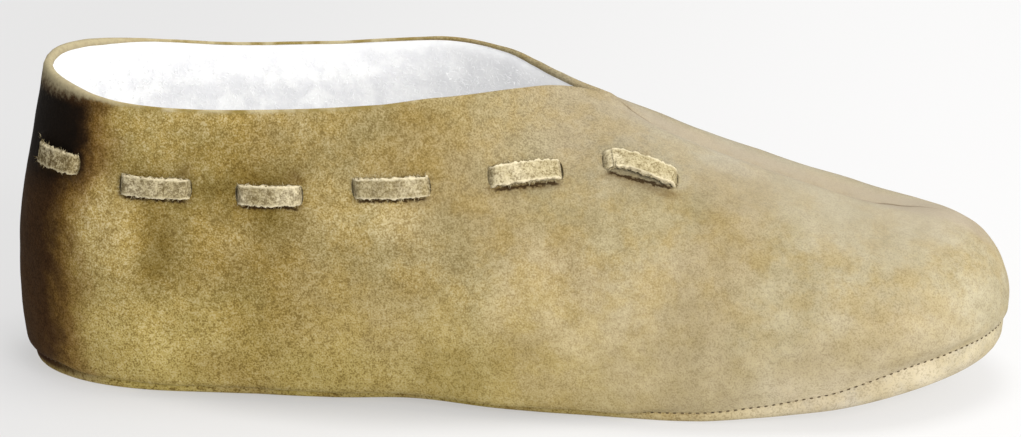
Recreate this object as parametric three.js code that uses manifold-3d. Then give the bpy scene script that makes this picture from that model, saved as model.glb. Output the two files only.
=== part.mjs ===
// A soft suede house slipper for the left foot, in millimetres: +X to the toe, +Y to the wearer's left, +Z up.
// The suede upper is one hollow wall with a seam down its front. It is turned and sewn to a soft suede sole
// whose edge cups up round the foot. A padded insole lies in it, and one flat suede lace runs in and out of
// slots below the collar, round the heel from one side of the vamp to the other.
import * as THREE from "three";
import { mergeVertices } from "three/addons/utils/BufferGeometryUtils.js";
import Module from "manifold-3d";

const wasm = await Module();
wasm.setup();

// Driving dimensions of the slipper.
const shoeLength = 267;
const heelWidth = 72;
const ballWidth = 96.5;
const collarHeight = 83;
const instepHeight = 76;

// Suede of the upper, the rolled edge of its collar, and the seam down its front.
const upperWall = 1.8;
const collarRollWall = 2.6;
const collarRollRise = 0.9;
const slitRoom = 2.7;
const frontSeamDepth = 2.6;
const frontSeamHalfWidth = 4.6;
const pieceGap = 0.3;

// Sole and insole.
const soleThickness = 1.8;
const soleEdgeHeight = 7;
const soleEdgeInset = 2;
const soleFloorInset = 0.8;
const toeSpring = 11;
const archRise = 0.8;
const insoleThickness = 4;
const insoleClearance = 0.8;
const insoleEdgeRound = 1.4;

// Lace, and the slots that it runs through.
const laceWidth = 5.4;
const laceThickness = 1.6;
const laceClearance = 0.45;
const laceBow = 0.5;
const laceTail = 9;
const laceEndReach = 0.06;
const laceEndDrop = 0.045;
const slotLength = 5.8;
const slotSideClearance = 0.4;
const slotCorner = 1.1;
const slotPinch = 0.8;

// How finely the solids are cut.
const backRibs = 24;
const frontRibs = 16;
const lowerSteps = [0, 0.25, 0.5, 0.75];
const upperSteps = [0, 0.14, 0.28, 0.42, 0.55, 0.67, 0.77, 0.85, 0.91, 0.955, 1];
const ribCrowding = 0.55;
const laceStep = 4;
const laceProbe = 1.5;
const laceMeasureSteps = 700;
const closestLaceStep = 0.3;
const slotSteps = [-0.5, -0.3, -0.1, 0.1, 0.3, 0.5];
const mergeDistance = 1e-3;

// Plan of the ends: each end rounds over a share of the length, as a superellipse of the given power.
const heelRound = { share: 0.16, power: 2.15 };
const toeRound = { share: 0.175, power: 2.2 };
const collarRound = { share: 0.22, power: 2.2 };

// Shares of the length: how far the heel leans in at the collar, where the opening ends, where the ribs of
// the toe meet, where the top line starts to pull in at each end, and how far the seam lies inside the ends.
const heelLean = 0.0264;
const heelLeanReach = 0.3;
const throatAt = 0.605;
const slitFrom = 0.5;
const toePoleAt = 0.93;
const toePoleReach = 0.7;
const frontSeam = { from: throatAt - 0.01, deepFrom: throatAt + 0.05, deepTo: 0.84, to: toePoleAt };
const seamHeelInset = 0.0131;
const seamToeInset = 0.0075;

// The width at a station goes from the heel's to the ball's between these shares of the length.
const heelStation = 0.25;
const ballStation = 0.7;

// The sole is flat up to the spring's start. The arch lifts between its two ends.
const springStart = 0.66;
const springPower = 1.5;
const archStart = 0.33;
const archEnd = 0.5;

// Sections across the slipper. Half widths of the seam and of the fullest line are shares of the width at that
// station, inner side then outer side. edge is a share of the sole edge's height, full of the instep height.
const sections = [
  { at: 0.0, seamIn: 0.417, seamOut: 0.417, fullIn: 0.486, fullOut: 0.486, edge: 0.571, full: 0.303 },
  { at: 0.1, seamIn: 0.431, seamOut: 0.438, fullIn: 0.5, fullOut: 0.507, edge: 0.5, full: 0.316 },
  { at: 0.25, seamIn: 0.438, seamOut: 0.458, fullIn: 0.514, fullOut: 0.535, edge: 0.4, full: 0.316 },
  { at: 0.4, seamIn: 0.412, seamOut: 0.449, fullIn: 0.493, fullOut: 0.518, edge: 0.371, full: 0.303 },
  { at: 0.55, seamIn: 0.442, seamOut: 0.459, fullIn: 0.504, fullOut: 0.521, edge: 0.371, full: 0.276 },
  { at: 0.7, seamIn: 0.446, seamOut: 0.435, fullIn: 0.503, fullOut: 0.497, edge: 0.437, full: 0.263 },
  { at: 0.82, seamIn: 0.425, seamOut: 0.399, fullIn: 0.477, fullOut: 0.461, edge: 0.72, full: 0.27 },
  { at: 0.92, seamIn: 0.375, seamOut: 0.342, fullIn: 0.431, fullOut: 0.399, edge: 1.0, full: 0.31 },
  { at: 1.0, seamIn: 0.352, seamOut: 0.321, fullIn: 0.404, fullOut: 0.373, edge: 0.857, full: 0.31 },
];

// The collar's edge: half opening as a share of the heel width, height as a share of the collar's.
const collarEdge = [
  { at: 0.0264, open: 0.396, rise: 1.006 },
  { at: 0.1, open: 0.438, rise: 0.972 },
  { at: 0.2, open: 0.465, rise: 0.953 },
  { at: 0.3, open: 0.472, rise: 0.964 },
  { at: 0.38, open: 0.465, rise: 0.983 },
  { at: 0.44, open: 0.408, rise: 0.999 },
  { at: 0.49, open: 0.299, rise: 0.997 },
  { at: 0.52, open: 0.194, rise: 0.987 },
  { at: 0.545, open: 0.104, rise: 0.975 },
  { at: 0.57, open: 0.042, rise: 0.956 },
  { at: 0.605, open: 0.0, rise: 0.9217 },
];

// The crest of the vamp, as shares of the instep height, and how steeply each rib leaves the top line.
const crest = [
  { at: 0.605, rise: 1.0 },
  { at: 0.7, rise: 0.855 },
  { at: 0.8, rise: 0.733 },
  { at: 0.86, rise: 0.675 },
  { at: 0.9, rise: 0.642 },
  { at: 0.93, rise: 0.621 },
];
const topSteepness = [
  { at: 0.0, degrees: 80 },
  { at: 0.15, degrees: 84 },
  { at: 0.3, degrees: 80 },
  { at: 0.42, degrees: 68 },
  { at: 0.5, degrees: 52 },
  { at: 0.56, degrees: 30 },
  { at: 0.605, degrees: 12 },
  { at: 0.66, degrees: 3 },
  { at: 1.0, degrees: 0 },
];

// The six lengths of lace that show on each side, from heel to vamp: the ribs that they start and end on,
// and their heights there as shares of the collar height.
const laceBars = [
  { from: 0.0245, to: 0.0705, fromRise: 0.757, toRise: 0.749 },
  { from: 0.1235, to: 0.1935, fromRise: 0.711, toRise: 0.705 },
  { from: 0.2445, to: 0.3055, fromRise: 0.696, toRise: 0.7 },
  { from: 0.3595, to: 0.4305, fromRise: 0.73, toRise: 0.741 },
  { from: 0.491, to: 0.5565, fromRise: 0.763, toRise: 0.763 },
  { from: 0.6, to: 0.669, fromRise: 0.787, toRise: 0.733 },
];
const laceHeelRise = 0.762;

const innerSide = -1;
const outerSide = 1;

// Curves and small helpers

const upwards = new THREE.Vector3(0, 0, 1);
const mix = (a, b, share) => a + (b - a) * share;
const clamp01 = (v) => Math.min(1, Math.max(0, v));

function smoothStep(low, high, v) {
  const s = clamp01((v - low) / (high - low));
  return s * s * (3 - 2 * s);
}

// Smooth curve through a table's column that never overshoots its rows.
function readTable(table, column, at) {
  const last = table.length - 1;
  const x = Math.min(table[last].at, Math.max(table[0].at, at));
  const rate = (i) => (table[i + 1][column] - table[i][column]) / (table[i + 1].at - table[i].at);
  const slope = (i) => {
    if (i === 0) return rate(0);
    if (i === last) return rate(last - 1);
    if (rate(i - 1) * rate(i) <= 0) return 0;
    const before = table[i].at - table[i - 1].at;
    const after = table[i + 1].at - table[i].at;
    const nearWeight = 2 * after + before;
    const farWeight = after + 2 * before;
    return (nearWeight + farWeight) / (nearWeight / rate(i - 1) + farWeight / rate(i));
  };
  const i = Math.max(0, Math.min(last - 1, table.findIndex((row) => row.at > x) - 1));
  const k = x >= table[last].at ? last - 1 : i;
  const span = table[k + 1].at - table[k].at;
  const s = (x - table[k].at) / span;
  const rest = 1 - s;
  const ends = table[k][column] * (1 + 2 * s) * rest * rest + table[k + 1][column] * s * s * (3 - 2 * s);
  return ends + span * (slope(k) * s * rest * rest - slope(k + 1) * s * s * rest);
}

// Share of the full width that is left near the two rounded ends of an outline.
function endRounding(t, heel, toe) {
  const fromHeel = clamp01(1 - t / heel.share);
  const fromToe = toe ? clamp01(1 - (1 - t) / toe.share) : 0;
  const heelShare = (1 - fromHeel ** heel.power) ** (1 / heel.power);
  return toe ? heelShare * (1 - fromToe ** toe.power) ** (1 / toe.power) : heelShare;
}

function widthAt(t) {
  return mix(heelWidth, ballWidth, clamp01((t - heelStation) / (ballStation - heelStation)));
}

// Height of the sole's underside over the floor.
function undersideAt(x) {
  const share = x / shoeLength;
  const spring = toeSpring * clamp01((share - springStart) / (1 - springStart)) ** springPower;
  const along = clamp01((share - archStart) / (archEnd - archStart));
  return spring + archRise * Math.sin(Math.PI * along) ** 2;
}

// The upper's outer surface

// A rib is two curves. roundHandle is the handle of a quarter circle, as a share of its radius, and the rest
// say how full the rib is above the seam, below and above its fullest line, and under the top line.
const roundHandle = 0.5523;
const ribFullness = { foot: 0.75, footRise: 0.16, belly: 0.55, side: 0.85, top: 0.6 };
const slopeProbe = 0.004;

// Where a rib ends at the top, as a share of the length.
function topShareAt(t) {
  const lean = heelLean * clamp01(1 - t / heelLeanReach) ** 2;
  const pull = (1 - toePoleAt) * clamp01((t - toePoleReach) / (1 - toePoleReach)) ** 2;
  return t + lean - pull;
}

function topHeightAt(share) {
  if (share < throatAt) return collarHeight * readTable(collarEdge, "rise", share);
  return instepHeight * readTable(crest, "rise", share);
}

// One rib from the seam up to the collar's edge or the crest: its three key points and its end directions.
function makeRib(side, t) {
  const outer = side === outerSide;
  const half = widthAt(t);
  const rounding = endRounding(t, heelRound, toeRound);
  const seamX = shoeLength * mix(seamHeelInset, 1 - seamToeInset, t);
  const seamHalf = half * readTable(sections, outer ? "seamOut" : "seamIn", t) * rounding;
  const fullHalf = half * readTable(sections, outer ? "fullOut" : "fullIn", t) * rounding;
  const seamZ = undersideAt(seamX) + soleEdgeHeight * readTable(sections, "edge", t);
  const fullZ = instepHeight * readTable(sections, "full", t);
  const topShare = topShareAt(t);
  const open = topShare < throatAt;
  const collarAlong = (topShare - heelLean) / (throatAt - heelLean);
  const collarHalf = heelWidth * readTable(collarEdge, "open", topShare) * endRounding(collarAlong, collarRound);
  const seam = new THREE.Vector3(seamX, side * seamHalf, seamZ);
  const full = new THREE.Vector3(shoeLength * t, side * fullHalf, fullZ);
  const top = new THREE.Vector3(shoeLength * topShare, side * (open ? collarHalf : 0), topHeightAt(topShare));
  const behind = Math.max(heelLean, topShare - slopeProbe);
  const ahead = Math.min(toePoleAt, topShare + slopeProbe);
  const slope = (topHeightAt(ahead) - topHeightAt(behind)) / (shoeLength * (ahead - behind));
  const outward = new THREE.Vector3(full.x - top.x, full.y - top.y, 0);
  if (t === 0) outward.set(-1, 0, 0);
  outward.normalize();
  const steep = THREE.MathUtils.degToRad(readTable(topSteepness, "degrees", topShare));
  const level = new THREE.Vector3(outward.x, outward.y, outward.x * slope * Math.cos(steep));
  const leave = level.multiplyScalar(Math.cos(steep)).addScaledVector(upwards, -Math.sin(steep));
  const climb = top.z - full.z;
  const reach = Math.hypot(full.x - top.x, full.y - top.y);
  const sideHandle = climb * roundHandle * ribFullness.side;
  const topHandle = roundHandle
    * (reach * Math.cos(steep) ** 2 + climb * ribFullness.top * Math.sin(steep) ** 2);
  const overhang = full.clone().sub(seam).multiplyScalar(ribFullness.foot);
  overhang.z *= ribFullness.footRise;
  const lower = new THREE.CubicBezierCurve3(
    seam,
    seam.clone().add(overhang),
    full.clone().addScaledVector(upwards, (seam.z - full.z) * ribFullness.belly),
    full,
  );
  const upper = new THREE.CubicBezierCurve3(
    full,
    full.clone().addScaledVector(upwards, sideHandle),
    top.clone().addScaledVector(leave, topHandle),
    top,
  );
  return { side, t, topShare, open, seam, top, lower, upper };
}

// The front seam pulls the crest down into a soft trough between the throat and the toe.
function troughAt(point, share) {
  const opens = smoothStep(frontSeam.from, frontSeam.deepFrom, share);
  const along = opens * (1 - smoothStep(frontSeam.deepTo, frontSeam.to, share));
  return frontSeamDepth * along * Math.exp(-((point.y / frontSeamHalfWidth) ** 2));
}

// A point of a rib: s runs from 0 at the seam to 1 at the fullest line and 2 at the top.
function ribPoint(rib, s) {
  const point = s < 1 ? rib.lower.getPoint(s) : rib.upper.getPoint(s - 1);
  if (s > 1) point.z -= troughAt(point, rib.topShare);
  return point;
}

function crowdedShares(count, from, to, crowdStart) {
  const shares = [];
  for (let i = 0; i <= count; i += 1) {
    const u = i / count;
    const crowded = crowdStart ? 1 - Math.cos((Math.PI / 2) * u) : Math.sin((Math.PI / 2) * u);
    shares.push(mix(from, to, mix(u, crowded, ribCrowding)));
  }
  return shares;
}

const backShares = crowdedShares(backRibs, 0, throatAt, true);
const frontShares = crowdedShares(frontRibs, throatAt, 1, false);
const ribShares = backShares.concat(frontShares.slice(1));
const ribCount = ribShares.length - 1;
const throatRib = backRibs;

// Columns go once round the slipper: heel to toe along the inner side, then back along the outer side.
const columns = [];
for (let i = 0; i <= ribCount; i += 1) columns.push({ rib: makeRib(innerSide, ribShares[i]), index: i });
for (let i = ribCount - 1; i > 0; i -= 1) columns.push({ rib: makeRib(outerSide, ribShares[i]), index: i });
const columnSteps = lowerSteps.concat(upperSteps.map((s) => 1 + s));
const topRow = columnSteps.length - 1;

// A solid is gathered as a list of corner points with their triangles, then merged and turned to face out.
class Soup {
  constructor() {
    this.positions = [];
  }

  triangle(a, b, c) {
    this.positions.push(a.x, a.y, a.z, b.x, b.y, b.z, c.x, c.y, c.z);
  }

  quad(a, b, c, d) {
    this.triangle(a, b, c);
    this.triangle(a, c, d);
  }

  geometry() {
    const loose = new THREE.BufferGeometry();
    loose.setAttribute("position", new THREE.Float32BufferAttribute(this.positions, 3));
    const merged = mergeVertices(loose, mergeDistance);
    const position = merged.getAttribute("position");
    const corners = merged.getIndex().array;
    const kept = [];
    let volume = 0;
    const a = new THREE.Vector3();
    const b = new THREE.Vector3();
    const c = new THREE.Vector3();
    for (let i = 0; i < corners.length; i += 3) {
      const [p, q, r] = [corners[i], corners[i + 1], corners[i + 2]];
      if (p === q || q === r || r === p) continue;
      kept.push(p, q, r);
      a.fromBufferAttribute(position, p);
      b.fromBufferAttribute(position, q);
      c.fromBufferAttribute(position, r);
      volume += a.dot(b.cross(c));
    }
    merged.setIndex(volume < 0 ? kept.reverse() : kept);
    return merged;
  }
}

// Outward direction at each point of the upper's outer surface, from the faces around it.
function surfaceNormals(grid) {
  const soup = new Soup();
  for (let c = 0; c < grid.length; c += 1) {
    const next = grid[(c + 1) % grid.length];
    for (let j = 0; j < topRow; j += 1) soup.quad(grid[c][j], next[j], next[j + 1], grid[c][j + 1]);
  }
  const loose = new THREE.BufferGeometry();
  loose.setAttribute("position", new THREE.Float32BufferAttribute(soup.positions, 3));
  const merged = mergeVertices(loose, mergeDistance);
  merged.computeVertexNormals();
  const position = merged.getAttribute("position");
  const normal = merged.getAttribute("normal");
  const key = (x, y, z) => `${x.toFixed(2)} ${y.toFixed(2)} ${z.toFixed(2)}`;
  const lookup = new Map();
  for (let i = 0; i < position.count; i += 1) {
    const found = new THREE.Vector3().fromBufferAttribute(normal, i);
    lookup.set(key(position.getX(i), position.getY(i), position.getZ(i)), found);
  }
  return grid.map((column) => column.map((p) => lookup.get(key(p.x, p.y, p.z))));
}

const snap = (p) => new THREE.Vector3(...[p.x, p.y, p.z].map((v) => Math.round(v * 100) / 100));
const outerGrid = columns.map(({ rib }) => columnSteps.map((s) => snap(ribPoint(rib, s))));
const gridNormals = surfaceNormals(outerGrid);
const innerGrid = outerGrid.map((column, c) => column.map((point, j) => {
  const rolled = columns[c].rib.open && j >= topRow - 1;
  const wall = rolled ? collarRollWall : upperWall;
  return point.clone().addScaledVector(gridNormals[c][j], -wall);
}));

// The upper's wall

function upperWallGeometry() {
  const soup = new Soup();
  const isCrest = (c) => columns[c].index >= throatRib;
  const rim = columns.map(({ rib }, c) => {
    const middle = outerGrid[c][topRow].clone().lerp(innerGrid[c][topRow], 0.5);
    const along = outerGrid[c][topRow].clone().sub(outerGrid[c][topRow - 1]).normalize();
    const room = rib.topShare < slitFrom ? 1 : smoothStep(0, slitRoom, Math.abs(rib.top.y));
    return middle.addScaledVector(along, collarRollRise * (isCrest(c) ? 0 : room));
  });
  for (let c = 0; c < columns.length; c += 1) {
    const n = (c + 1) % columns.length;
    for (let j = 0; j < topRow; j += 1) {
      soup.quad(outerGrid[c][j], outerGrid[n][j], outerGrid[n][j + 1], outerGrid[c][j + 1]);
      soup.quad(innerGrid[c][j], innerGrid[c][j + 1], innerGrid[n][j + 1], innerGrid[n][j]);
    }
    soup.quad(outerGrid[c][0], innerGrid[c][0], innerGrid[n][0], outerGrid[n][0]);
    if (isCrest(c) && isCrest(n)) continue;
    soup.quad(outerGrid[c][topRow], outerGrid[n][topRow], rim[n], rim[c]);
    soup.quad(rim[c], rim[n], innerGrid[n][topRow], innerGrid[c][topRow]);
  }
  return soup.geometry();
}

// The sole: a soft tray whose edge rises to the upper's seam

function ringNormal(ring, c) {
  const before = ring[(c + ring.length - 1) % ring.length];
  const after = ring[(c + 1) % ring.length];
  return new THREE.Vector3(after.y - before.y, before.x - after.x, 0).normalize();
}

function insetRing(ring, inset, heightAt) {
  return ring.map((point, c) => {
    const moved = point.clone().addScaledVector(ringNormal(ring, c), -inset);
    moved.z = heightAt(moved, c);
    return moved;
  });
}

// The sole's edge faces the upper's lower edge across the seam, one gap further along the wall.
const seamStep = (c) => outerGrid[c][0].clone().sub(outerGrid[c][1]).setLength(pieceGap);
const seamRing = outerGrid.map((column, c) => column[0].clone().add(seamStep(c)));
const seamInnerRing = innerGrid.map((column, c) => column[0].clone().add(seamStep(c)));
const soleFloorRing = insetRing(seamInnerRing, soleFloorInset, (p) => undersideAt(p.x) + soleThickness);

function stitchRings(soup, low, high) {
  for (let c = 0; c < low.length; c += 1) {
    const n = (c + 1) % low.length;
    soup.quad(low[c], low[n], high[n], high[c]);
  }
}

// Closes a ring with strips from the inner side to the outer side.
function fillRing(soup, ring, facesUp) {
  for (let i = 0; i < ribCount; i += 1) {
    const inner = [ring[i], ring[i + 1]];
    const outer = [ring[(ring.length - i) % ring.length], ring[ring.length - i - 1]];
    if (facesUp) soup.quad(inner[0], inner[1], outer[1], outer[0]);
    else soup.quad(outer[0], outer[1], inner[1], inner[0]);
  }
}

function soleGeometry() {
  const soup = new Soup();
  const edgeTurns = [0, 30, 60, 90].map(THREE.MathUtils.degToRad);
  const sides = edgeTurns.map((turn) => insetRing(seamRing, soleEdgeInset * (1 - Math.cos(turn)), (p, c) => {
    const under = undersideAt(p.x);
    return under + (seamRing[c].z - under) * (1 - Math.sin(turn));
  }));
  for (let k = 0; k < sides.length - 1; k += 1) stitchRings(soup, sides[k + 1], sides[k]);
  fillRing(soup, sides[sides.length - 1], false);
  stitchRings(soup, sides[0], seamInnerRing);
  stitchRings(soup, seamInnerRing, soleFloorRing);
  fillRing(soup, soleFloorRing, true);
  return soup.geometry();
}

// The insole: a soft pad on the sole's floor

function insoleGeometry() {
  const soup = new Soup();
  const lift = (amount) => (p) => undersideAt(p.x) + soleThickness + pieceGap + amount;
  const bottom = insetRing(soleFloorRing, insoleClearance, lift(0));
  const shoulder = insetRing(bottom, 0, lift(insoleThickness - insoleEdgeRound));
  const top = insetRing(bottom, insoleEdgeRound, lift(insoleThickness));
  fillRing(soup, bottom, false);
  stitchRings(soup, bottom, shoulder);
  stitchRings(soup, shoulder, top);
  fillRing(soup, top, true);
  return soup.geometry();
}

// The lace's path along the upper's wall

const laceHeights = [{ at: 0, rise: laceHeelRise }];
for (const bar of laceBars) laceHeights.push({ at: bar.from, rise: bar.fromRise }, { at: bar.to, rise: bar.toRise });
const vampBar = laceBars[laceBars.length - 1];
laceHeights.push({ at: vampBar.to + laceEndReach, rise: vampBar.toRise - laceEndDrop });

// Where a column of the upper's grid crosses a height, on its outer and on its inner face.
function columnAtHeight(c, height) {
  let j = topRow - 1;
  while (j > 0 && outerGrid[c][j].z > height) j -= 1;
  const share = (height - outerGrid[c][j].z) / (outerGrid[c][j + 1].z - outerGrid[c][j].z);
  const outer = outerGrid[c][j].clone().lerp(outerGrid[c][j + 1], share);
  const inner = innerGrid[c][j].clone().lerp(innerGrid[c][j + 1], share);
  return { outer, inner };
}

// A station is a rib's share of the length, taken as negative on the inner side.
function wallAt(station, lift) {
  const share = Math.abs(station);
  const height = collarHeight * readTable(laceHeights, "rise", share) + lift;
  const k = Math.min(ribCount - 1, ribShares.findLastIndex((at) => at <= share));
  const part = (share - ribShares[k]) / (ribShares[k + 1] - ribShares[k]);
  const place = (i) => (station < 0 ? i : (columns.length - i) % columns.length);
  const before = columnAtHeight(place(k), height);
  const after = columnAtHeight(place(k + 1), height);
  return { outer: before.outer.lerp(after.outer, part), inner: before.inner.lerp(after.inner, part) };
}

// The wall's outer and inner points at a station, with the directions out of it, along it and across the lace.
function laceFrame(station) {
  const probe = laceProbe / shoeLength;
  const { outer, inner } = wallAt(station, 0);
  const along = wallAt(station + probe, 0).outer.sub(wallAt(station - probe, 0).outer).normalize();
  const rise = wallAt(station, laceWidth / 2).outer.sub(wallAt(station, -laceWidth / 2).outer).normalize();
  const outward = new THREE.Vector3().crossVectors(rise, along).normalize();
  if (outward.dot(outer.clone().sub(inner)) < 0) outward.negate();
  const across = new THREE.Vector3().crossVectors(outward, along).normalize();
  return { outer, inner, outward, along, across };
}

const barEnds = laceBars.flatMap((bar) => [bar.from, bar.to]);
const slotStations = barEnds.map((end) => -end).reverse().concat(barEnds);

// Stations every few tenths of a millimetre, with the length run up to each.
function measureLace() {
  const reach = laceBars[laceBars.length - 1].to + laceTail / shoeLength;
  const list = [];
  let run = 0;
  for (let i = 0; i <= laceMeasureSteps; i += 1) {
    const station = mix(-reach, reach, i / laceMeasureSteps);
    const point = wallAt(station, 0).outer;
    if (i > 0) run += point.distanceTo(list[i - 1].point);
    list.push({ station, point, run });
  }
  return list;
}

const laceMeasure = measureLace();

function readMeasure(from, to, value) {
  const i = Math.max(1, laceMeasure.findIndex((row) => row[from] >= value));
  const before = laceMeasure[i - 1];
  const after = laceMeasure[i];
  return mix(before[to], after[to], (value - before[from]) / (after[from] - before[from]));
}

const slotRuns = slotStations.map((station) => readMeasure("station", "run", station));
const laceStandOff = laceClearance + laceThickness / 2;

// How far through the wall the lace's middle lies, from 0 inside to 1 outside, and how far it bows out there.
// It is inside before the first slot, and each slot takes it through to the other side.
function laceThrough(run) {
  let outside = 0;
  let bow = 0;
  for (let k = 0; k < slotRuns.length; k += 1) {
    const passed = smoothStep(-slotLength / 2, slotLength / 2, run - slotRuns[k]);
    outside += k % 2 === 0 ? passed : -passed;
    if (k % 2 === 0) {
      const along = clamp01((run - slotRuns[k]) / (slotRuns[k + 1] - slotRuns[k]));
      bow += laceBow * Math.sin(Math.PI * along) ** 2;
    }
  }
  return { outside, bow };
}

function laceHalfWidth(run) {
  const nearest = Math.min(...slotRuns.map((slot) => Math.abs(run - slot)));
  return (laceWidth / 2) * mix(slotPinch, 1, smoothStep(0, slotLength, nearest));
}

function laceRuns() {
  const total = laceMeasure[laceMeasure.length - 1].run;
  const marks = [0, ...slotRuns, total];
  const runs = [0];
  const ribRuns = [...ribShares.map((share) => -share), ...ribShares]
    .filter((station) => Math.abs(station) < laceMeasure[laceMeasure.length - 1].station)
    .map((station) => readMeasure("station", "run", station));
  for (let k = 0; k < marks.length - 1; k += 1) {
    const from = marks[k] + (k === 0 ? 0 : slotLength / 2);
    const to = marks[k + 1] - (k === marks.length - 2 ? 0 : slotLength / 2);
    const count = Math.max(1, Math.round((to - from) / laceStep));
    for (let i = 1; i < count; i += 1) runs.push(mix(from, to, i / count));
    runs.push(...ribRuns.filter((run) => run > from && run < to));
    if (k < marks.length - 2) for (const step of slotSteps) runs.push(marks[k + 1] + step * slotLength);
  }
  runs.push(total);
  runs.sort((a, b) => a - b);
  return runs.filter((run, i) => i === 0 || run - runs[i - 1] > closestLaceStep);
}

function laceGeometry() {
  const soup = new Soup();
  const sectionsOfLace = laceRuns().map((run) => {
    const { outer, inner, outward, across } = laceFrame(readMeasure("run", "station", run));
    const { outside, bow } = laceThrough(run);
    const middle = inner.clone().addScaledVector(outward, -laceStandOff)
      .lerp(outer.clone().addScaledVector(outward, laceStandOff + bow), outside);
    const half = laceHalfWidth(run);
    const corner = (w, h) => middle.clone()
      .addScaledVector(across, w * half)
      .addScaledVector(outward, (h * laceThickness) / 2);
    return [corner(-1, -1), corner(1, -1), corner(1, 1), corner(-1, 1)];
  });
  const last = sectionsOfLace.length - 1;
  for (let i = 0; i < last; i += 1) {
    for (let k = 0; k < 4; k += 1) {
      const n = (k + 1) % 4;
      soup.quad(sectionsOfLace[i][k], sectionsOfLace[i][n], sectionsOfLace[i + 1][n], sectionsOfLace[i + 1][k]);
    }
  }
  soup.quad(...sectionsOfLace[0].slice().reverse());
  soup.quad(...sectionsOfLace[last]);
  return soup.geometry();
}

// One slot's cutter: an eight-sided prism that goes straight through the wall.
function slotGeometry(station) {
  const { outer, outward, along, across } = laceFrame(station);
  const halfLong = slotLength / 2;
  const halfWide = laceWidth / 2 + slotSideClearance;
  const outline = [
    [halfLong - slotCorner, -halfWide],
    [halfLong, slotCorner - halfWide],
    [halfLong, halfWide - slotCorner],
    [halfLong - slotCorner, halfWide],
    [slotCorner - halfLong, halfWide],
    [-halfLong, halfWide - slotCorner],
    [-halfLong, slotCorner - halfWide],
    [slotCorner - halfLong, -halfWide],
  ];
  const reach = 2 * upperWall;
  const layer = (depth) => outline.map(([a, w]) => outer.clone()
    .addScaledVector(along, a)
    .addScaledVector(across, w)
    .addScaledVector(outward, depth));
  const inside = layer(-upperWall - reach);
  const outside = layer(reach);
  const soup = new Soup();
  stitchRings(soup, inside, outside);
  for (let k = 1; k < outline.length - 1; k += 1) {
    soup.triangle(inside[0], inside[k + 1], inside[k]);
    soup.triangle(outside[0], outside[k], outside[k + 1]);
  }
  return soup.geometry();
}

// Cutting with manifold

function toManifold(geometry) {
  const mesh = new wasm.Mesh({
    numProp: 3,
    vertProperties: new Float32Array(geometry.getAttribute("position").array),
    triVerts: new Uint32Array(geometry.getIndex().array),
  });
  return new wasm.Manifold(mesh);
}

function toGeometry(solid) {
  const mesh = solid.getMesh();
  const geometry = new THREE.BufferGeometry();
  geometry.setAttribute("position", new THREE.BufferAttribute(new Float32Array(mesh.vertProperties), 3));
  geometry.setIndex(new THREE.BufferAttribute(new Uint32Array(mesh.triVerts), 1));
  return geometry;
}

function upperGeometry() {
  let wall = toManifold(upperWallGeometry());
  for (const station of slotStations) wall = wall.subtract(toManifold(slotGeometry(station)));
  return toGeometry(wall);
}

// Assembly

const suede = new THREE.MeshStandardMaterial({ color: 0xb7a478, roughness: 0.95, metalness: 0 });
const soleSuede = new THREE.MeshStandardMaterial({ color: 0x9c8a62, roughness: 0.95, metalness: 0 });
const fleece = new THREE.MeshStandardMaterial({ color: 0xece9e2, roughness: 1, metalness: 0 });
const laceSuede = new THREE.MeshStandardMaterial({ color: 0xcdc3a8, roughness: 0.9, metalness: 0 });

function piece(name, geometry, material) {
  geometry.computeVertexNormals();
  const mesh = new THREE.Mesh(geometry, material);
  mesh.name = name;
  return mesh;
}

const slipper = new THREE.Group();
slipper.add(piece("upper", upperGeometry(), suede));
slipper.add(piece("sole", soleGeometry(), soleSuede));
slipper.add(piece("insole", insoleGeometry(), fleece));
slipper.add(piece("lace", laceGeometry(), laceSuede));

// The origin is on the floor under the middle of the slipper's box.
const bounds = new THREE.Box3().setFromObject(slipper);
slipper.position.set(-(bounds.min.x + bounds.max.x) / 2, -(bounds.min.y + bounds.max.y) / 2, -bounds.min.z);

export default slipper;
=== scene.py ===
# %% [markdown]
# A soft suede house slipper, dressed for the camera
#
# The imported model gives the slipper's solids: a suede upper with punched slots, a soft sole, an insole and
# one lace. This notebook keeps their sizes and gives each of them its real surface. It starts by loading
# them.

import math

import bmesh
import bpy
import numpy as np
from mathutils import Matrix, Vector, noise


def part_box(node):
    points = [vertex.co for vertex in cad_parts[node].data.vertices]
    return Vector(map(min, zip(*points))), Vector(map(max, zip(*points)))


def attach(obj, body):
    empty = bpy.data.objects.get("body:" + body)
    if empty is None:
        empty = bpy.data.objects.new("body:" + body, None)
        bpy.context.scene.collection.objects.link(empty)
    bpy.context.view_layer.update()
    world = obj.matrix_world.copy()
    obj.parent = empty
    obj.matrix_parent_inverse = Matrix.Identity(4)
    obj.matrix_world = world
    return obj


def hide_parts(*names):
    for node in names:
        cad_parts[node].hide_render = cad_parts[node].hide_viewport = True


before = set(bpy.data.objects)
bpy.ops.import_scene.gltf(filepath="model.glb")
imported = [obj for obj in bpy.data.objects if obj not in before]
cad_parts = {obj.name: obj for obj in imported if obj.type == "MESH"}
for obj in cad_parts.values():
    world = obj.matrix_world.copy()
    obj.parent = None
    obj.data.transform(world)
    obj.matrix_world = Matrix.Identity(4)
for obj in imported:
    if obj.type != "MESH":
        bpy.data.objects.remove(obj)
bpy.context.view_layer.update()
node_boxes = [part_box(node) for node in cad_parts]
length_of_frame = max(high.x for low, high in node_boxes) - min(low.x for low, high in node_boxes)
print("solids:", sorted(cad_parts), "length", round(length_of_frame, 4))

# %% [markdown]
# Sizes
#
# A slipper is cut from a few patterns, and the same few sizes drive all of them. They are in millimetres
# here, as on a pattern card, and a mesh is turned to metres when it is made. The length comes from the
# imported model.

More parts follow.
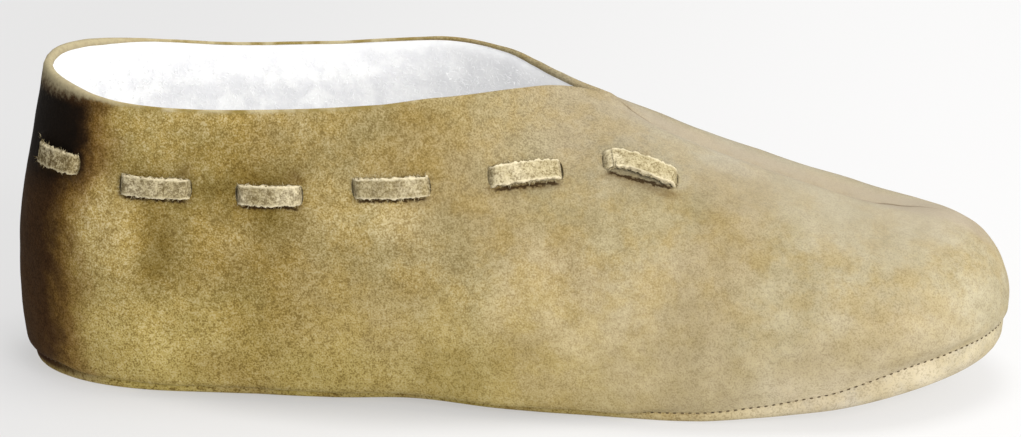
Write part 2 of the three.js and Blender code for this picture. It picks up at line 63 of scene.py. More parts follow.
# %% Sizes of the slipper
MM = 0.001
SHOE_LENGTH = length_of_frame / MM
HEEL_WIDTH = 72.0
BALL_WIDTH = 96.5
COLLAR_HEIGHT = 83.0
INSTEP_HEIGHT = 76.0

UPPER_WALL = 1.6
RIM_WALL = 0.9
FRONT_SEAM_DEPTH = 2.6
FRONT_SEAM_HALF_WIDTH = 4.6

SOLE_THICKNESS = 1.8
SOLE_EDGE_HEIGHT = 7.0
SOLE_EDGE_INSET = 2.0
SOLE_GAP = 0.08
TOE_SPRING = 11.0
ARCH_RISE = 0.8
INSOLE_GAP = 0.3
INSOLE_THICKNESS = 4.0

LACE_WIDTH = 5.4
LACE_THICKNESS = 1.5
LACE_CLEARANCE = 0.25
LACE_TAIL = 9.0

# %% Tables of the last, as shares of those sizes
# Rounded ends: the share of the length that is rounded, and the power of the round
HEEL_ROUND = (0.16, 2.15)
TOE_ROUND = (0.175, 2.2)
COLLAR_ROUND = (0.22, 2.2)
HEEL_LEAN = 0.032
THROAT_AT = 0.605
TOE_POLE_AT = 0.93
SEAM_HEEL_INSET = 0.0131
SEAM_TOE_INSET = 0.005

# Seam and fullest line as shares of the width, the sole's edge and the fullest line of their heights
SECTIONS = {
    "at": [0.0, 0.1, 0.25, 0.4, 0.55, 0.7, 0.82, 0.92, 1.0],
    "seam_in": [0.417, 0.431, 0.438, 0.412, 0.442, 0.446, 0.43, 0.387, 0.366],
    "seam_out": [0.417, 0.438, 0.458, 0.449, 0.459, 0.435, 0.404, 0.354, 0.335],
    "full_in": [0.486, 0.5, 0.514, 0.493, 0.504, 0.503, 0.477, 0.431, 0.404],
    "full_out": [0.486, 0.507, 0.535, 0.518, 0.521, 0.497, 0.461, 0.399, 0.373],
    "edge": [0.571, 0.5, 0.4, 0.371, 0.371, 0.437, 0.74, 1.22, 1.2],
    "full": [0.303, 0.316, 0.316, 0.303, 0.276, 0.263, 0.27, 0.31, 0.31],
}
COLLAR_EDGE = {
    "at": [0.0264, 0.1, 0.2, 0.3, 0.38, 0.44, 0.49, 0.52, 0.545, 0.57, 0.605],
    "open": [0.396, 0.438, 0.465, 0.472, 0.465, 0.408, 0.299, 0.194, 0.104, 0.042, 0.0],
    "rise": [1.006, 0.972, 0.953, 0.964, 0.983, 0.999, 0.997, 0.987, 0.975, 0.956, 0.9217],
}
CREST = {
    "at": [0.605, 0.7, 0.8, 0.86, 0.9, 0.93],
    "rise": [1.0, 0.855, 0.733, 0.675, 0.642, 0.621],
}
TOP_STEEPNESS = {
    "at": [0.0, 0.15, 0.3, 0.42, 0.5, 0.56, 0.605, 0.66, 1.0],
    "degrees": [80, 84, 80, 68, 52, 30, 12, 3, 0],
}
# Each bar's two ends along the slipper, then its two heights as shares of the collar's
LACE_BARS = [
    (0.0245, 0.0705, 0.757, 0.749),
    (0.1235, 0.1935, 0.711, 0.705),
    (0.2445, 0.3055, 0.696, 0.7),
    (0.3595, 0.4305, 0.73, 0.741),
    (0.491, 0.5565, 0.763, 0.763),
    (0.6, 0.669, 0.787, 0.733),
]
LACE_HEEL_RISE = 0.762


# %% [markdown]
# The surface of the upper
#
# A last is drawn as sections across the foot. Each section here is a rib of two smooth curves, from the
# seam at the sole out to the fullest line and from there up to the collar or the crest of the vamp. A place
# on the upper is then two numbers: how far along the slipper its rib stands, and how far up the rib it
# lies. Reading the surface this way gives the suede, the lining, the slots and the lace one and the same
# shape.

# %% Smooth tables
def read_table(table, column, at):
    """Smooth curve through a column that never overshoots its rows."""
    x = np.asarray(table["at"], float)
    y = np.asarray(table[column], float)
    spans = np.diff(x)
    rates = np.diff(y) / spans
    near = 2 * spans[1:] + spans[:-1]
    far = spans[1:] + 2 * spans[:-1]
    same_way = rates[:-1] * rates[1:] > 0
    before = np.where(same_way, rates[:-1], 1)
    after = np.where(same_way, rates[1:], 1)
    slopes = np.zeros_like(y)
    slopes[0] = rates[0]
    slopes[-1] = rates[-1]
    slopes[1:-1] = np.where(same_way, (near + far) / (near / before + far / after), 0)
    at = np.clip(np.asarray(at, float), x[0], x[-1])
    k = np.clip(np.searchsorted(x, at, side="right") - 1, 0, len(x) - 2)
    s = (at - x[k]) / spans[k]
    rest = 1 - s
    ends = y[k] * (1 + 2 * s) * rest**2 + y[k + 1] * s * s * (3 - 2 * s)
    return ends + spans[k] * (slopes[k] * s * rest**2 - slopes[k + 1] * s * s * rest)


def smooth_step(low, high, v):
    s = np.clip((v - low) / (high - low), 0, 1)
    return s * s * (3 - 2 * s)


def end_rounding(t, heel, toe=None):
    """Share of the full width that is left near the rounded ends of an outline."""
    share, power = heel
    left = (1 - np.clip(1 - t / share, 0, 1) ** power) ** (1 / power)
    if toe:
        share, power = toe
        left = left * (1 - np.clip((t - 1) / share + 1, 0, 1) ** power) ** (1 / power)
    return left


def underside_at(x):
    """Height of the sole's underside over the floor, x from the heel's end."""
    share = x / SHOE_LENGTH
    spring = TOE_SPRING * np.clip((share - 0.66) / 0.34, 0, 1) ** 1.5
    return spring + ARCH_RISE * np.sin(np.pi * np.clip((share - 0.33) / 0.17, 0, 1)) ** 2


def top_height_at(share):
    collar = COLLAR_HEIGHT * read_table(COLLAR_EDGE, "rise", share)
    return np.where(share < THROAT_AT, collar, INSTEP_HEIGHT * read_table(CREST, "rise", share))


def top_share_at(t):
    """Where a rib's top stands along the slipper: ahead of its foot at the heel, behind it at the toe."""
    at_heel = np.clip(1 - t / 0.3, 0, 1) ** 2
    at_toe = np.clip((t - 0.7) / 0.3, 0, 1) ** 2
    return t + HEEL_LEAN * at_heel - (1 - TOE_POLE_AT) * at_toe


# %% Ribs and the points on them
INNER = -1.0
OUTER = 1.0
ROUND_HANDLE = 0.5523


def joined(x, y, z):
    return np.stack(np.broadcast_arrays(x, y, z), -1).astype(float)


def rib_handles(side, t):
    """Handles of a rib's lower and upper curve, for any number of ribs at once."""
    outer = side > 0
    half = HEEL_WIDTH + (BALL_WIDTH - HEEL_WIDTH) * np.clip((t - 0.25) / 0.45, 0, 1)
    half = half * end_rounding(t, HEEL_ROUND, TOE_ROUND)
    seam_x = SHOE_LENGTH * (SEAM_HEEL_INSET + (1 - SEAM_TOE_INSET - SEAM_HEEL_INSET) * t)
    seam_share = np.where(outer, read_table(SECTIONS, "seam_out", t), read_table(SECTIONS, "seam_in", t))
    full_share = np.where(outer, read_table(SECTIONS, "full_out", t), read_table(SECTIONS, "full_in", t))
    seam_z = underside_at(seam_x) + SOLE_EDGE_HEIGHT * read_table(SECTIONS, "edge", t)
    seam = joined(seam_x, side * half * seam_share, seam_z)
    full = joined(SHOE_LENGTH * t, side * half * full_share, INSTEP_HEIGHT * read_table(SECTIONS, "full", t))
    share = top_share_at(t)
    around = end_rounding(np.maximum(share - HEEL_LEAN, 0) / (THROAT_AT - HEEL_LEAN), COLLAR_ROUND)
    open_half = HEEL_WIDTH * read_table(COLLAR_EDGE, "open", share) * around
    top = joined(SHOE_LENGTH * share, side * np.where(share < THROAT_AT, open_half, 0), top_height_at(share))
    behind = np.maximum(HEEL_LEAN, share - 0.004)
    ahead = np.minimum(TOE_POLE_AT, share + 0.004)
    slope = (top_height_at(ahead) - top_height_at(behind)) / (SHOE_LENGTH * (ahead - behind))
    way = (full - top)[..., :2]
    reach = np.hypot(way[..., 0], way[..., 1])
    way = way / np.maximum(reach, 1e-6)[..., None]
    way = np.where((t <= 0)[..., None], np.array([-1.0, 0.0]), way)
    steep = np.radians(read_table(TOP_STEEPNESS, "degrees", share))
    level = np.cos(steep)
    leave = joined(way[..., 0] * level, way[..., 1] * level, way[..., 0] * slope * level**2 - np.sin(steep))
    climb = top[..., 2] - full[..., 2]
    side_handle = climb * ROUND_HANDLE * 0.85
    top_handle = ROUND_HANDLE * (reach * level**2 + climb * 0.6 * np.sin(steep) ** 2)
    leaving = 0.12 + 0.38 * smooth_step(0.62, 0.74, t)
    overhang = (full - seam) * joined(0.75, 0.75, leaving)
    upwards = np.array([0.0, 0.0, 1.0])
    belly = ((seam - full)[..., 2] * 0.55)[..., None] * upwards
    lower = (seam, seam + overhang, full + belly, full)
    upper = (full, full + side_handle[..., None] * upwards, top + leave * top_handle[..., None], top)
    return lower, upper, share


def bezier(handles, s):
    s = s[..., None]
    rest = 1 - s
    start, leave, arrive, end = handles
    return start * rest**3 + 3 * leave * s * rest**2 + 3 * arrive * s * s * rest + end * s**3


def front_seam_pull(share):
    """How strongly the front seam pulls the vamp in, from 0 to 1 along the crest."""
    opens = smooth_step(THROAT_AT - 0.01, THROAT_AT + 0.05, share)
    return opens * (1 - smooth_step(0.84, TOE_POLE_AT, share))


def on_upper(side, t, s, seam_pull=1.0):
    """Point of the outside: t along the slipper, s from 0 at the sole to 1 fullest and 2 at the top."""
    side, t, s = np.broadcast_arrays(np.asarray(side, float), np.asarray(t, float), np.asarray(s, float))
    lower, upper, share = rib_handles(side, t)
    point = np.where((s < 1)[..., None], bezier(lower, np.clip(s, 0, 1)), bezier(upper, np.clip(s - 1, 0, 1)))
    near_seam = np.exp(-((point[..., 1] / FRONT_SEAM_HALF_WIDTH) ** 2))
    trough = FRONT_SEAM_DEPTH * front_seam_pull(share) * near_seam
    point[..., 2] -= np.where(s > 1, trough * seam_pull, 0)
    return point


# %% [markdown]
# The grid
#
# The suede is drawn as columns that run up the ribs. They go from heel to toe along the inner side and back
# along the outer side, so the grid closes on itself at the heel. Past the throat the two sides share the
# points of the crest, which sews them together without a gap.

# %% Columns and rows of the fine grid
def crowded(count, crowd_start):
    """Shares from 0 to 1 that lie closer together at one end."""
    u = np.linspace(0, 1, count + 1)
    bent = 1 - np.cos(np.pi / 2 * u) if crowd_start else np.sin(np.pi / 2 * u)
    return 0.45 * u + 0.55 * bent


BACK_COLUMNS = 130
FRONT_COLUMNS = 92
SIDE_ROWS = 12
TOP_ROWS = 60
BACK_T = THROAT_AT * crowded(BACK_COLUMNS, True)
FRONT_T = THROAT_AT + (1 - THROAT_AT) * crowded(FRONT_COLUMNS, False)
SIDE_T = np.concatenate([BACK_T, FRONT_T[1:]])
LAST = len(SIDE_T) - 1
COLUMN_T = np.concatenate([SIDE_T, SIDE_T[LAST - 1:0:-1]])
COLUMN_SIDE = np.concatenate([np.full(LAST + 1, INNER), np.full(LAST - 1, OUTER)])
COLUMNS = len(COLUMN_T)
MIRROR = (COLUMNS - np.arange(COLUMNS)) % COLUMNS
ON_CREST = COLUMN_T >= THROAT_AT - 1e-9
ROW_S = np.concatenate([np.linspace(0, 1, SIDE_ROWS + 1)[:-1], 1 + np.linspace(0, 1, TOP_ROWS + 1)])


def grid_ids(rows):
    """Vertex number of each place of a grid, with the crest shared by the two sides."""
    ids = np.arange(COLUMNS * rows).reshape(COLUMNS, rows)
    shared = ON_CREST & (COLUMN_SIDE > 0)
    ids[shared, -1] = ids[MIRROR[shared], -1]
    return ids


def grid_quads(ids, flip=False):
    after = np.roll(ids, -1, axis=0)
    quads = np.stack([ids[:, :-1], after[:, :-1], after[:, 1:], ids[:, 1:]], -1).reshape(-1, 4)
    return quads[:, ::-1] if flip else quads


def strip_between(low, high):
    """Quads between two closed rings of vertex numbers."""
    return np.stack([low, np.roll(low, -1), np.roll(high, -1), high], 1)


def vertex_normals(points, quads):
    a, b, c, d = (points[quads[:, k]] for k in range(4))
    face = np.cross(c - a, d - b)
    out = np.zeros_like(points)
    for k in range(4):
        np.add.at(out, quads[:, k], face)
    return out / np.maximum(np.linalg.norm(out, axis=1), 1e-12)[:, None]


outline = on_upper(COLUMN_SIDE, COLUMN_T, np.ones(COLUMNS))
SHIFT = np.array([-SHOE_LENGTH / 2, -(outline[:, 1].min() + outline[:, 1].max()) / 2, 0.0])
print("grid:", COLUMNS, "columns of", len(ROW_S), "points, moved by", SHIFT.round(3))


# %% Meshes from points in millimetres
def new_object(name, data):
    obj = bpy.data.objects.new(name, data)
    bpy.context.scene.collection.objects.link(obj)
    return obj


def make_mesh(name, points, faces, *materials, second=()):
    """An object at the origin, from the slipper's own millimetres. Faces listed in second take material 2."""
    mesh = bpy.data.meshes.new(name)
    placed = (np.asarray(points) + SHIFT) * MM
    mesh.from_pydata(placed.tolist(), [], [list(map(int, f)) for f in faces])
    for face in second:
        mesh.polygons[face].material_index = 1
    mesh.validate()
    for material in materials:
        mesh.materials.append(material)
    mesh.shade_smooth()
    return new_object(name, mesh)


def add_values(obj, name, values):
    """A value on every point that a material can read by its name."""
    attribute = obj.data.attributes.new(name, "FLOAT", "POINT")
    attribute.data.foreach_set("value", np.asarray(values, float))


def tidy_mesh(obj, merge=1e-6):
    """Drops unused points, merges doubles and turns the faces of a closed shell outwards."""
    bm = bmesh.new()
    bm.from_mesh(obj.data)
    bmesh.ops.remove_doubles(bm, verts=bm.verts, dist=merge)
    loose = [v for v in bm.verts if not v.link_faces]
    bmesh.ops.delete(bm, geom=loose, context="VERTS")
    bmesh.ops.recalc_face_normals(bm, faces=bm.faces)
    bm.to_mesh(obj.data)
    bm.free()


def open_edges(obj):
    """Number of edges that don't have exactly two faces: a closed piece has none."""
    count = {}
    for polygon in obj.data.polygons:
        for key in polygon.edge_keys:
            count[key] = count.get(key, 0) + 1
    return sum(1 for n in count.values() if n != 2)


def triangles(obj):
    return sum(len(p.vertices) - 2 for p in obj.data.polygons)


def ripple(points, size, seed, octaves=2):
    """Smooth random value of about -1 to 1 at each point, with features of the given size."""
    offset = Vector((seed * 17.3, seed * 5.1, seed * 9.7))
    return np.array([noise.fractal(Vector(p) / size + offset, 1.0, 2.0, octaves) for p in points.tolist()])


# %% [markdown]
# Colours
#
# Undyed suede is never one colour. It goes from olive gold to a paler beige with broad soft patches, and
# close up it is peppered with darker and lighter ends of nap. At the back of the heel it is dark brown,
# partly where a hand or a shoehorn rubs it and partly painted shade. Colours are written as they look on a
# screen and turned to linear light.

# %% A colour as it looks on a screen
def shown(red, green, blue):
    def linear(v):
        v = v / 255
        return v / 12.92 if v <= 0.04045 else ((v + 0.055) / 1.055) ** 2.4

    return (linear(red), linear(green), linear(blue), 1.0)


SUEDE_OLIVE = shown(133, 116, 65)
SUEDE_BEIGE = shown(152, 142, 114)
SUEDE_GOLD = shown(141, 117, 55)
SUEDE_PALE_GOLD = shown(147, 129, 86)
SUEDE_OCHRE = shown(146, 124, 74)
SUEDE_ROSE = shown(156, 139, 108)
SUEDE_DOTS = shown(88, 68, 28)
SUEDE_TIPS = shown(186, 172, 134)
# The heel's browns and black are partly a stain and partly painted shade.
HEEL_BROWN = shown(56, 33, 16)
HEEL_WARM = shown(206, 184, 160)
HEEL_STAIN_AND_SHADE = shown(140, 126, 128)
HEEL_BLACK = shown(6, 5, 4)
SUEDE_SCUFFED = shown(188, 178, 150)
SUEDE_LOW_GOLD = shown(170, 152, 88)
# Painted sheen: pale where the top faces up, pinkish along the crest.
SUEDE_SHEEN_PALE = shown(176, 168, 150)
SUEDE_PINK_SHEEN = shown(158, 146, 128)
SOLE_OLIVE = shown(168, 150, 82)
SOLE_PALE = shown(197, 186, 158)
# Painted shadow with some soiling round the bars, and the dark line in the front seam.
SHADE_AND_GRIME_BROWN = shown(84, 62, 30)
# A painted shadow line under each bar.
BAR_SHADOW_BROWN = shown(52, 36, 18)
THROAT_LIFT = shown(0, 27, 48)
LACE_DIRT_AND_SHADE = shown(84, 68, 36)
RAW_EDGE = shown(170, 158, 124)
RIM_CREAM = shown(178, 166, 132)
LACE_TAN = shown(168, 155, 118)
LACE_BEIGE = shown(212, 200, 168)
LACE_DOTS = shown(92, 76, 44)
LACE_CLOUD = shown(140, 124, 84)
FLEECE_WHITE = shown(198, 198, 197)
# Painted shade for the fleece inside the slipper.
FLEECE_PAINTED_SHADE = shown(150, 150, 152)
FLEECE_SHADE = shown(178, 178, 180)
THREAD_BROWN = shown(62, 48, 28)
THREAD_TAN = shown(92, 74, 44)
FLOOR_GREY = shown(127, 127, 127)
FLOOR_PALE = shown(131, 131, 131)


# %% Node helpers
def add_node(tree, kind, **settings):
    node = tree.nodes.new(kind)
    for key, value in settings.items():
        setattr(node, key, value)
    return node


def feed(tree, socket, value):
    """Links an output to a socket, or sets the socket to a plain value."""
    if isinstance(value, bpy.types.NodeSocket):
        tree.links.new(value, socket)
    else:
        socket.default_value = value


def math_node(tree, operation, a, b=0.0, third=0.0):
    node = add_node(tree, "ShaderNodeMath", operation=operation)
    feed(tree, node.inputs[0], a)
    feed(tree, node.inputs[1], b)
    node.inputs[2].default_value = third
    return node.outputs[0]


def times(tree, a, b):
    return math_node(tree, "MULTIPLY", a, b)


def plus(tree, a, b):
    return math_node(tree, "ADD", a, b)


def minus(tree, a, b):
    return math_node(tree, "SUBTRACT", a, b)


def oval_gap(tree, run, rise):
    """Squared distance from an oval's middle, from two distances as shares of its reach."""
    return plus(tree, times(tree, run, run), times(tree, rise, rise))


def spread(tree, value, low, high, to_low=0.0, to_high=1.0, smooth=True):
    """Maps a value's range to another, with soft ends."""
    node = add_node(tree, "ShaderNodeMapRange", interpolation_type="SMOOTHSTEP" if smooth else "LINEAR")
    feed(tree, node.inputs["Value"], value)
    feed(tree, node.inputs["From Min"], low)
    node.inputs["From Max"].default_value = high
    node.inputs["To Min"].default_value = to_low
    node.inputs["To Max"].default_value = to_high
    return node.outputs["Result"]


def blend_colour(tree, share, a, b, mode="MIX"):
    node = add_node(tree, "ShaderNodeMix", data_type="RGBA", blend_type=mode)
    feed(tree, node.inputs[0], share)
    feed(tree, node.inputs[6], a)
    feed(tree, node.inputs[7], b)
    return node.outputs[2]


def cloud(tree, place, size_mm, detail=2.0, roughness=0.5):
    """Noise whose features have the given size in millimetres, read at a place in millimetres."""
    node = add_node(tree, "ShaderNodeTexNoise", noise_dimensions="3D")
    feed(tree, node.inputs["Vector"], place)
    feed(tree, node.inputs["Scale"], size_mm if isinstance(size_mm, bpy.types.NodeSocket) else 1 / size_mm)
    node.inputs["Detail"].default_value = detail
    node.inputs["Roughness"].default_value = roughness
    return node.outputs["Fac"]


def place_in_mm(tree):
    """Object coordinates in millimetres."""
    where = add_node(tree, "ShaderNodeTexCoord")
    scaled = add_node(tree, "ShaderNodeVectorMath", operation="SCALE")
    feed(tree, scaled.inputs[0], where.outputs["Object"])
    scaled.inputs["Scale"].default_value = 1 / MM
    return scaled.outputs[0]


def split_axes(tree, place):
    """The x, y and z of a place, read as axis["X"] and so on."""
    split = add_node(tree, "ShaderNodeSeparateXYZ")
    feed(tree, split.inputs[0], place)
    return split.outputs


def stored_value(tree, name):
    """A value that was kept on the mesh's points under this name."""
    return add_node(tree, "ShaderNodeAttribute", attribute_name=name).outputs["Fac"]


def set_inputs(node, values):
    for label, value in values.items():
        node.inputs[label].default_value = value


def new_material(name):
    """A material with its node tree and its own shader."""
    material = bpy.data.materials.new(name)
    material.use_nodes = True
    return material, material.node_tree, material.node_tree.nodes["Principled BSDF"]


def add_bump(tree, shader, height, strength, depth_mm):
    bump = add_node(tree, "ShaderNodeBump")
    set_inputs(bump, {"Strength": strength, "Distance": depth_mm * MM})
    feed(tree, bump.inputs["Height"], height)
    feed(tree, shader.inputs["Normal"], bump.outputs["Normal"])


def new_group(name, inputs, outputs):
    """A shader node group with named sockets: lists of (name, socket type, start value)."""
    group = bpy.data.node_groups.new(name, "ShaderNodeTree")
    for label, kind, start in inputs:
        socket = group.interface.new_socket(label, in_out="INPUT", socket_type=kind)
        if start is not None:
            socket.default_value = start
    for label, kind in outputs:
        group.interface.new_socket(label, in_out="OUTPUT", socket_type=kind)
    entry = group.nodes.new("NodeGroupInput")
    leave = group.nodes.new("NodeGroupOutput")
    return group, entry.outputs, leave.inputs


# %% [markdown]
# The suede nap, built once
#
# The upper, the sole, the lace and the raw edges are all suede, with other colours and other grain. One
# node group makes the nap: broad patches for how the hide took its colour, fine dark pits between the
# fibres, pale fibre tips, and a height for bump. The group only puts out colours and values, so each
# material keeps its own shader, with its sheen set on the shader.

# %% The suede nap group
def build_suede_nap():
    group, given, made = new_group(
        "suede_nap",
        [
            ("Place", "NodeSocketVector", None),
            ("Base", "NodeSocketColor", SUEDE_OLIVE),
            ("Patch", "NodeSocketColor", SUEDE_GOLD),
            ("Cloud", "NodeSocketColor", SUEDE_ROSE),
            ("Dots", "NodeSocketColor", SUEDE_DOTS),
            ("Tips", "NodeSocketColor", SUEDE_TIPS),
            ("Grain", "NodeSocketFloat", 2.2),
            ("Dot strength", "NodeSocketFloat", 0.5),
            ("Tip strength", "NodeSocketFloat", 0.3),
        ],
        [("Color", "NodeSocketColor"), ("Roughness", "NodeSocketFloat"), ("Height", "NodeSocketFloat")],
    )
    place = given["Place"]
    broad = spread(group, cloud(group, place, 34, 2, 0.5), 0.38, 0.62)
    patch = spread(group, cloud(group, place, 9, 4, 0.62), 0.4, 0.66)
    colour = blend_colour(group, times(group, broad, 0.5), given["Base"], given["Cloud"])
    colour = blend_colour(group, times(group, patch, 0.65), colour, given["Patch"])
    fine = cloud(group, place, given["Grain"], 2, 0.6)
    crumb = cloud(group, place, 1.8, 2, 0.6)
    coarse_share = times(group, crumb, 0.32)
    grain = plus(group, times(group, fine, 0.68), coarse_share)
    speck = spread(group, grain, 0.52, 0.38)
    dots = times(group, speck, given["Dot strength"])
    colour = blend_colour(group, dots, colour, given["Dots"])
    tips = times(group, spread(group, grain, 0.5, 0.63), given["Tip strength"])
    colour = blend_colour(group, tips, colour, given["Tips"])
    feed(group, made["Color"], colour)
    feed(group, made["Roughness"], spread(group, grain, 0.3, 0.7, 0.98, 0.86, smooth=False))
    ridges = cloud(group, place, 2.6, 3, 0.6)
    height = plus(group, times(group, grain, 0.7), times(group, ridges, 0.5))
    feed(group, made["Height"], height)
    return group


suede_nap = build_suede_nap()
print("shared group:", suede_nap.name)


# %% Placing the nap in a material
NAP_BUMP = 0.7
MATT_SHINE = 0.05
WARM_SHEEN = (1.0, 0.94, 0.82, 1.0)


def suede_material(name, colours, grain, dot_strength, tip_strength, bump_mm, sheen, tune=None):
    """A suede: the nap group feeds its colour, roughness and bump. tune may change what goes in and out."""
    material, tree, shader = new_material(name)
    nap = add_node(tree, "ShaderNodeGroup", node_tree=suede_nap)
    place = place_in_mm(tree)
    feed(tree, nap.inputs["Place"], place)
    set_inputs(nap, dict(zip(("Base", "Patch", "Cloud", "Dots", "Tips"), colours)))
    set_inputs(nap, {"Grain": grain, "Dot strength": dot_strength, "Tip strength": tip_strength})
    colour = nap.outputs["Color"]
    if tune:
        colour = tune(tree, nap, place, colour)
    feed(tree, shader.inputs["Base Color"], colour)
    feed(tree, shader.inputs["Roughness"], nap.outputs["Roughness"])
    add_bump(tree, shader, nap.outputs["Height"], NAP_BUMP, bump_mm)
    set_inputs(shader, {
        "Specular IOR Level": MATT_SHINE,
        "Sheen Weight": sheen,
        "Sheen Roughness": 0.45,
        "Sheen Tint": WARM_SHEEN,
    })
    return material


# %% [markdown]
# The upper's suede
#
# Along the slipper the suede goes from olive at the heel to pale beige at the toe, partly its own tone and
# partly painted light that grows towards the toe, and a short table of soft ovals makes it lighter or darker
# in places. The heel is brown, and nearly black below its collar, behind a ragged border: partly a stain and
# partly painted shade where the heel turns from the lamps. The top is paler where it faces up and pinkish
# along the crest, both painted sheen. The brown mostly multiplies the colour that is there, because paint
# laid over it would hide the grain. All of this is read from the slipper's own coordinates, so it stays put
# from every side.

# %% Upper, sole and raw edge materials
# Lighter and darker places on both sides: x, z, reach along, reach up, change of light
LIGHT_SPOTS = [
    (-104, 45, 11, 16, 0.5),
    (-92, 42, 6, 16, -0.2),
    (-75, 76, 36, 14, 0.36),
    (-62, 56, 18, 9, -0.24),
    (-88, 22, 20, 12, 0.22),
    (-38, 56, 18, 10, 0.4),
    (-24, 46, 13, 10, 0.24),
    (-8, 29, 13, 11, 0.22),
    (20, 35, 22, 16, 0.28),
    (34, 18, 20, 12, 0.1),
    (62, 20, 22, 20, -0.1),
    (70, 54, 26, 12, -0.1),
    (104, 52, 14, 12, -0.16),
    (128, 36, 12, 26, 0.15),
    (90, 9, 26, 8, 0.2),
    (-64, 69, 18, 8, -0.24),
    (-72, 48, 9, 9, 0.24),
]
# A spot has faded out where its squared distance, in reaches, is this large
SPOT_END = 1.6
MEAN_LIGHT = 1.03
# A lighter place is also paler, so green and blue change more than red
LIGHT_GAINS = (1.0, 1.12, 1.6)


def placed_light(tree, axis):
    """Sum of the listed soft spots, as a change of light."""
    total = 0.0
    for x, z, reach_x, reach_z, change in LIGHT_SPOTS:
        run = math_node(tree, "DIVIDE", minus(tree, axis["X"], x), reach_x)
        rise = math_node(tree, "DIVIDE", minus(tree, axis["Z"], z), reach_z)
        total = plus(tree, total, spread(tree, oval_gap(tree, run, rise), 0.0, SPOT_END, change, 0.0))
    return total


def uneven_tone(tree, place, colour, placed=0.0):
    """Soft lighter and darker spots in a few sizes, which the hide takes on in the vat."""
    small = spread(tree, cloud(tree, place, 6, 2, 0.5), 0.3, 0.7, -0.07, 0.07, smooth=False)
    large = spread(tree, cloud(tree, place, 24, 1, 0.5), 0.3, 0.7, -0.09, 0.09, smooth=False)
    light = plus(tree, plus(tree, small, large), plus(tree, placed, MEAN_LIGHT))
    shade = add_node(tree, "ShaderNodeCombineXYZ")
    for socket, gain in zip(shade.inputs, LIGHT_GAINS):
        feed(tree, socket, math_node(tree, "MULTIPLY_ADD", light, gain, third=MEAN_LIGHT * (1 - gain)))
    return blend_colour(tree, 1.0, colour, shade.outputs[0], "MULTIPLY")


# Where each finish of the upper starts and is full, along the slipper (x) or up it (z), in millimetres
TONE_AND_LIGHT_X = (-32, 112)
SCUFFED_Z = (34, -2)
LOW_GOLD_ENDS_X = (0, 75)
TOP_SHEEN_X = (5, 80)
THROAT_Z = (52, 68)
THROAT_X = (-20, 20)
CREST_X = (22, 40)
SEAM_LINE_STARTS_X = (27, 33)
SEAM_LINE_ENDS_X = (118, 100)
HEEL_WARM_X = (-100, -110)
HEEL_BROWN_X = (-105, -116)
HEEL_BLACK_X = (-107, -119)
HEEL_BLACK_Z = (48, 62)
RIM_UNDARKENED_Z = (80.5, 77)
CREAM_RIM_ENDS_X = (-112, -90)
# Shares of the olive to beige change between which the grain grows weaker
GRAIN_FADE = (0.1, 0.7)


def tone_and_light_the_hide(tree, nap, place, axis):
    """Feeds the nap its colours: olive at the heel, beige at the toe, partly painted light that grows towards the toe,
    gold and scuffed low down.
    """
    wander = times(tree, cloud(tree, place, 28, 3, 0.5), 70.0)
    tone_and_light_to_toe = spread(tree, plus(tree, axis["X"], wander), *TONE_AND_LIGHT_X, smooth=False)
    scuffed = spread(tree, minus(tree, axis["Z"], times(tree, wander, 0.3)), *SCUFFED_Z)
    low_tint = blend_colour(tree, spread(tree, axis["X"], *LOW_GOLD_ENDS_X), SUEDE_LOW_GOLD, SUEDE_SCUFFED)
    base = blend_colour(tree, tone_and_light_to_toe, SUEDE_OLIVE, SUEDE_BEIGE)
    feed(tree, nap.inputs["Base"], blend_colour(tree, times(tree, scuffed, 0.62), base, low_tint))
    patch = blend_colour(tree, tone_and_light_to_toe, SUEDE_GOLD, SUEDE_PALE_GOLD)
    feed(tree, nap.inputs["Patch"], blend_colour(tree, times(tree, scuffed, 0.5), patch, low_tint))
    feed(tree, nap.inputs["Cloud"], blend_colour(tree, tone_and_light_to_toe, SUEDE_OCHRE, SUEDE_ROSE))
    feed(tree, nap.inputs["Dot strength"], spread(tree, tone_and_light_to_toe, *GRAIN_FADE, 0.66, 0.28, smooth=False))
    feed(tree, nap.inputs["Tip strength"], spread(tree, tone_and_light_to_toe, *GRAIN_FADE, 0.38, 0.22, smooth=False))


def paint_top_sheen_and_seam(tree, axis, colour):
    """Painted sheen, paler where the top faces up and pinkish round the front seam; cooler at the throat, with a dark
    line in the seam.
    """
    upward = stored_value(tree, "facing_up")
    painted_top_sheen = times(tree, spread(tree, upward, 0.72, 1.0), spread(tree, axis["X"], *TOP_SHEEN_X, 0, 0.5))
    colour = blend_colour(tree, painted_top_sheen, colour, SUEDE_SHEEN_PALE)
    near_throat = times(tree, spread(tree, axis["Z"], *THROAT_Z), spread(tree, axis["X"], *THROAT_X))
    colour = blend_colour(tree, near_throat, colour, THROAT_LIFT, "ADD")
    from_crest = math_node(tree, "ABSOLUTE", minus(tree, axis["Y"], float(SHIFT[1])))
    crest_sheen = times(tree, spread(tree, from_crest, 8, 3), spread(tree, upward, 0.5, 0.8, 0, 0.6))
    crest_sheen = times(tree, crest_sheen, spread(tree, axis["X"], *CREST_X))
    colour = blend_colour(tree, crest_sheen, colour, SUEDE_PINK_SHEEN)
    seam_line = times(tree, spread(tree, from_crest, 0.75, 0.15, 0, 0.6), spread(tree, upward, 0.3, 0.6))
    seam_line = times(tree, seam_line, spread(tree, axis["X"], *SEAM_LINE_STARTS_X))
    seam_line = times(tree, seam_line, spread(tree, axis["X"], *SEAM_LINE_ENDS_X))
    return blend_colour(tree, seam_line, colour, SHADE_AND_GRIME_BROWN)


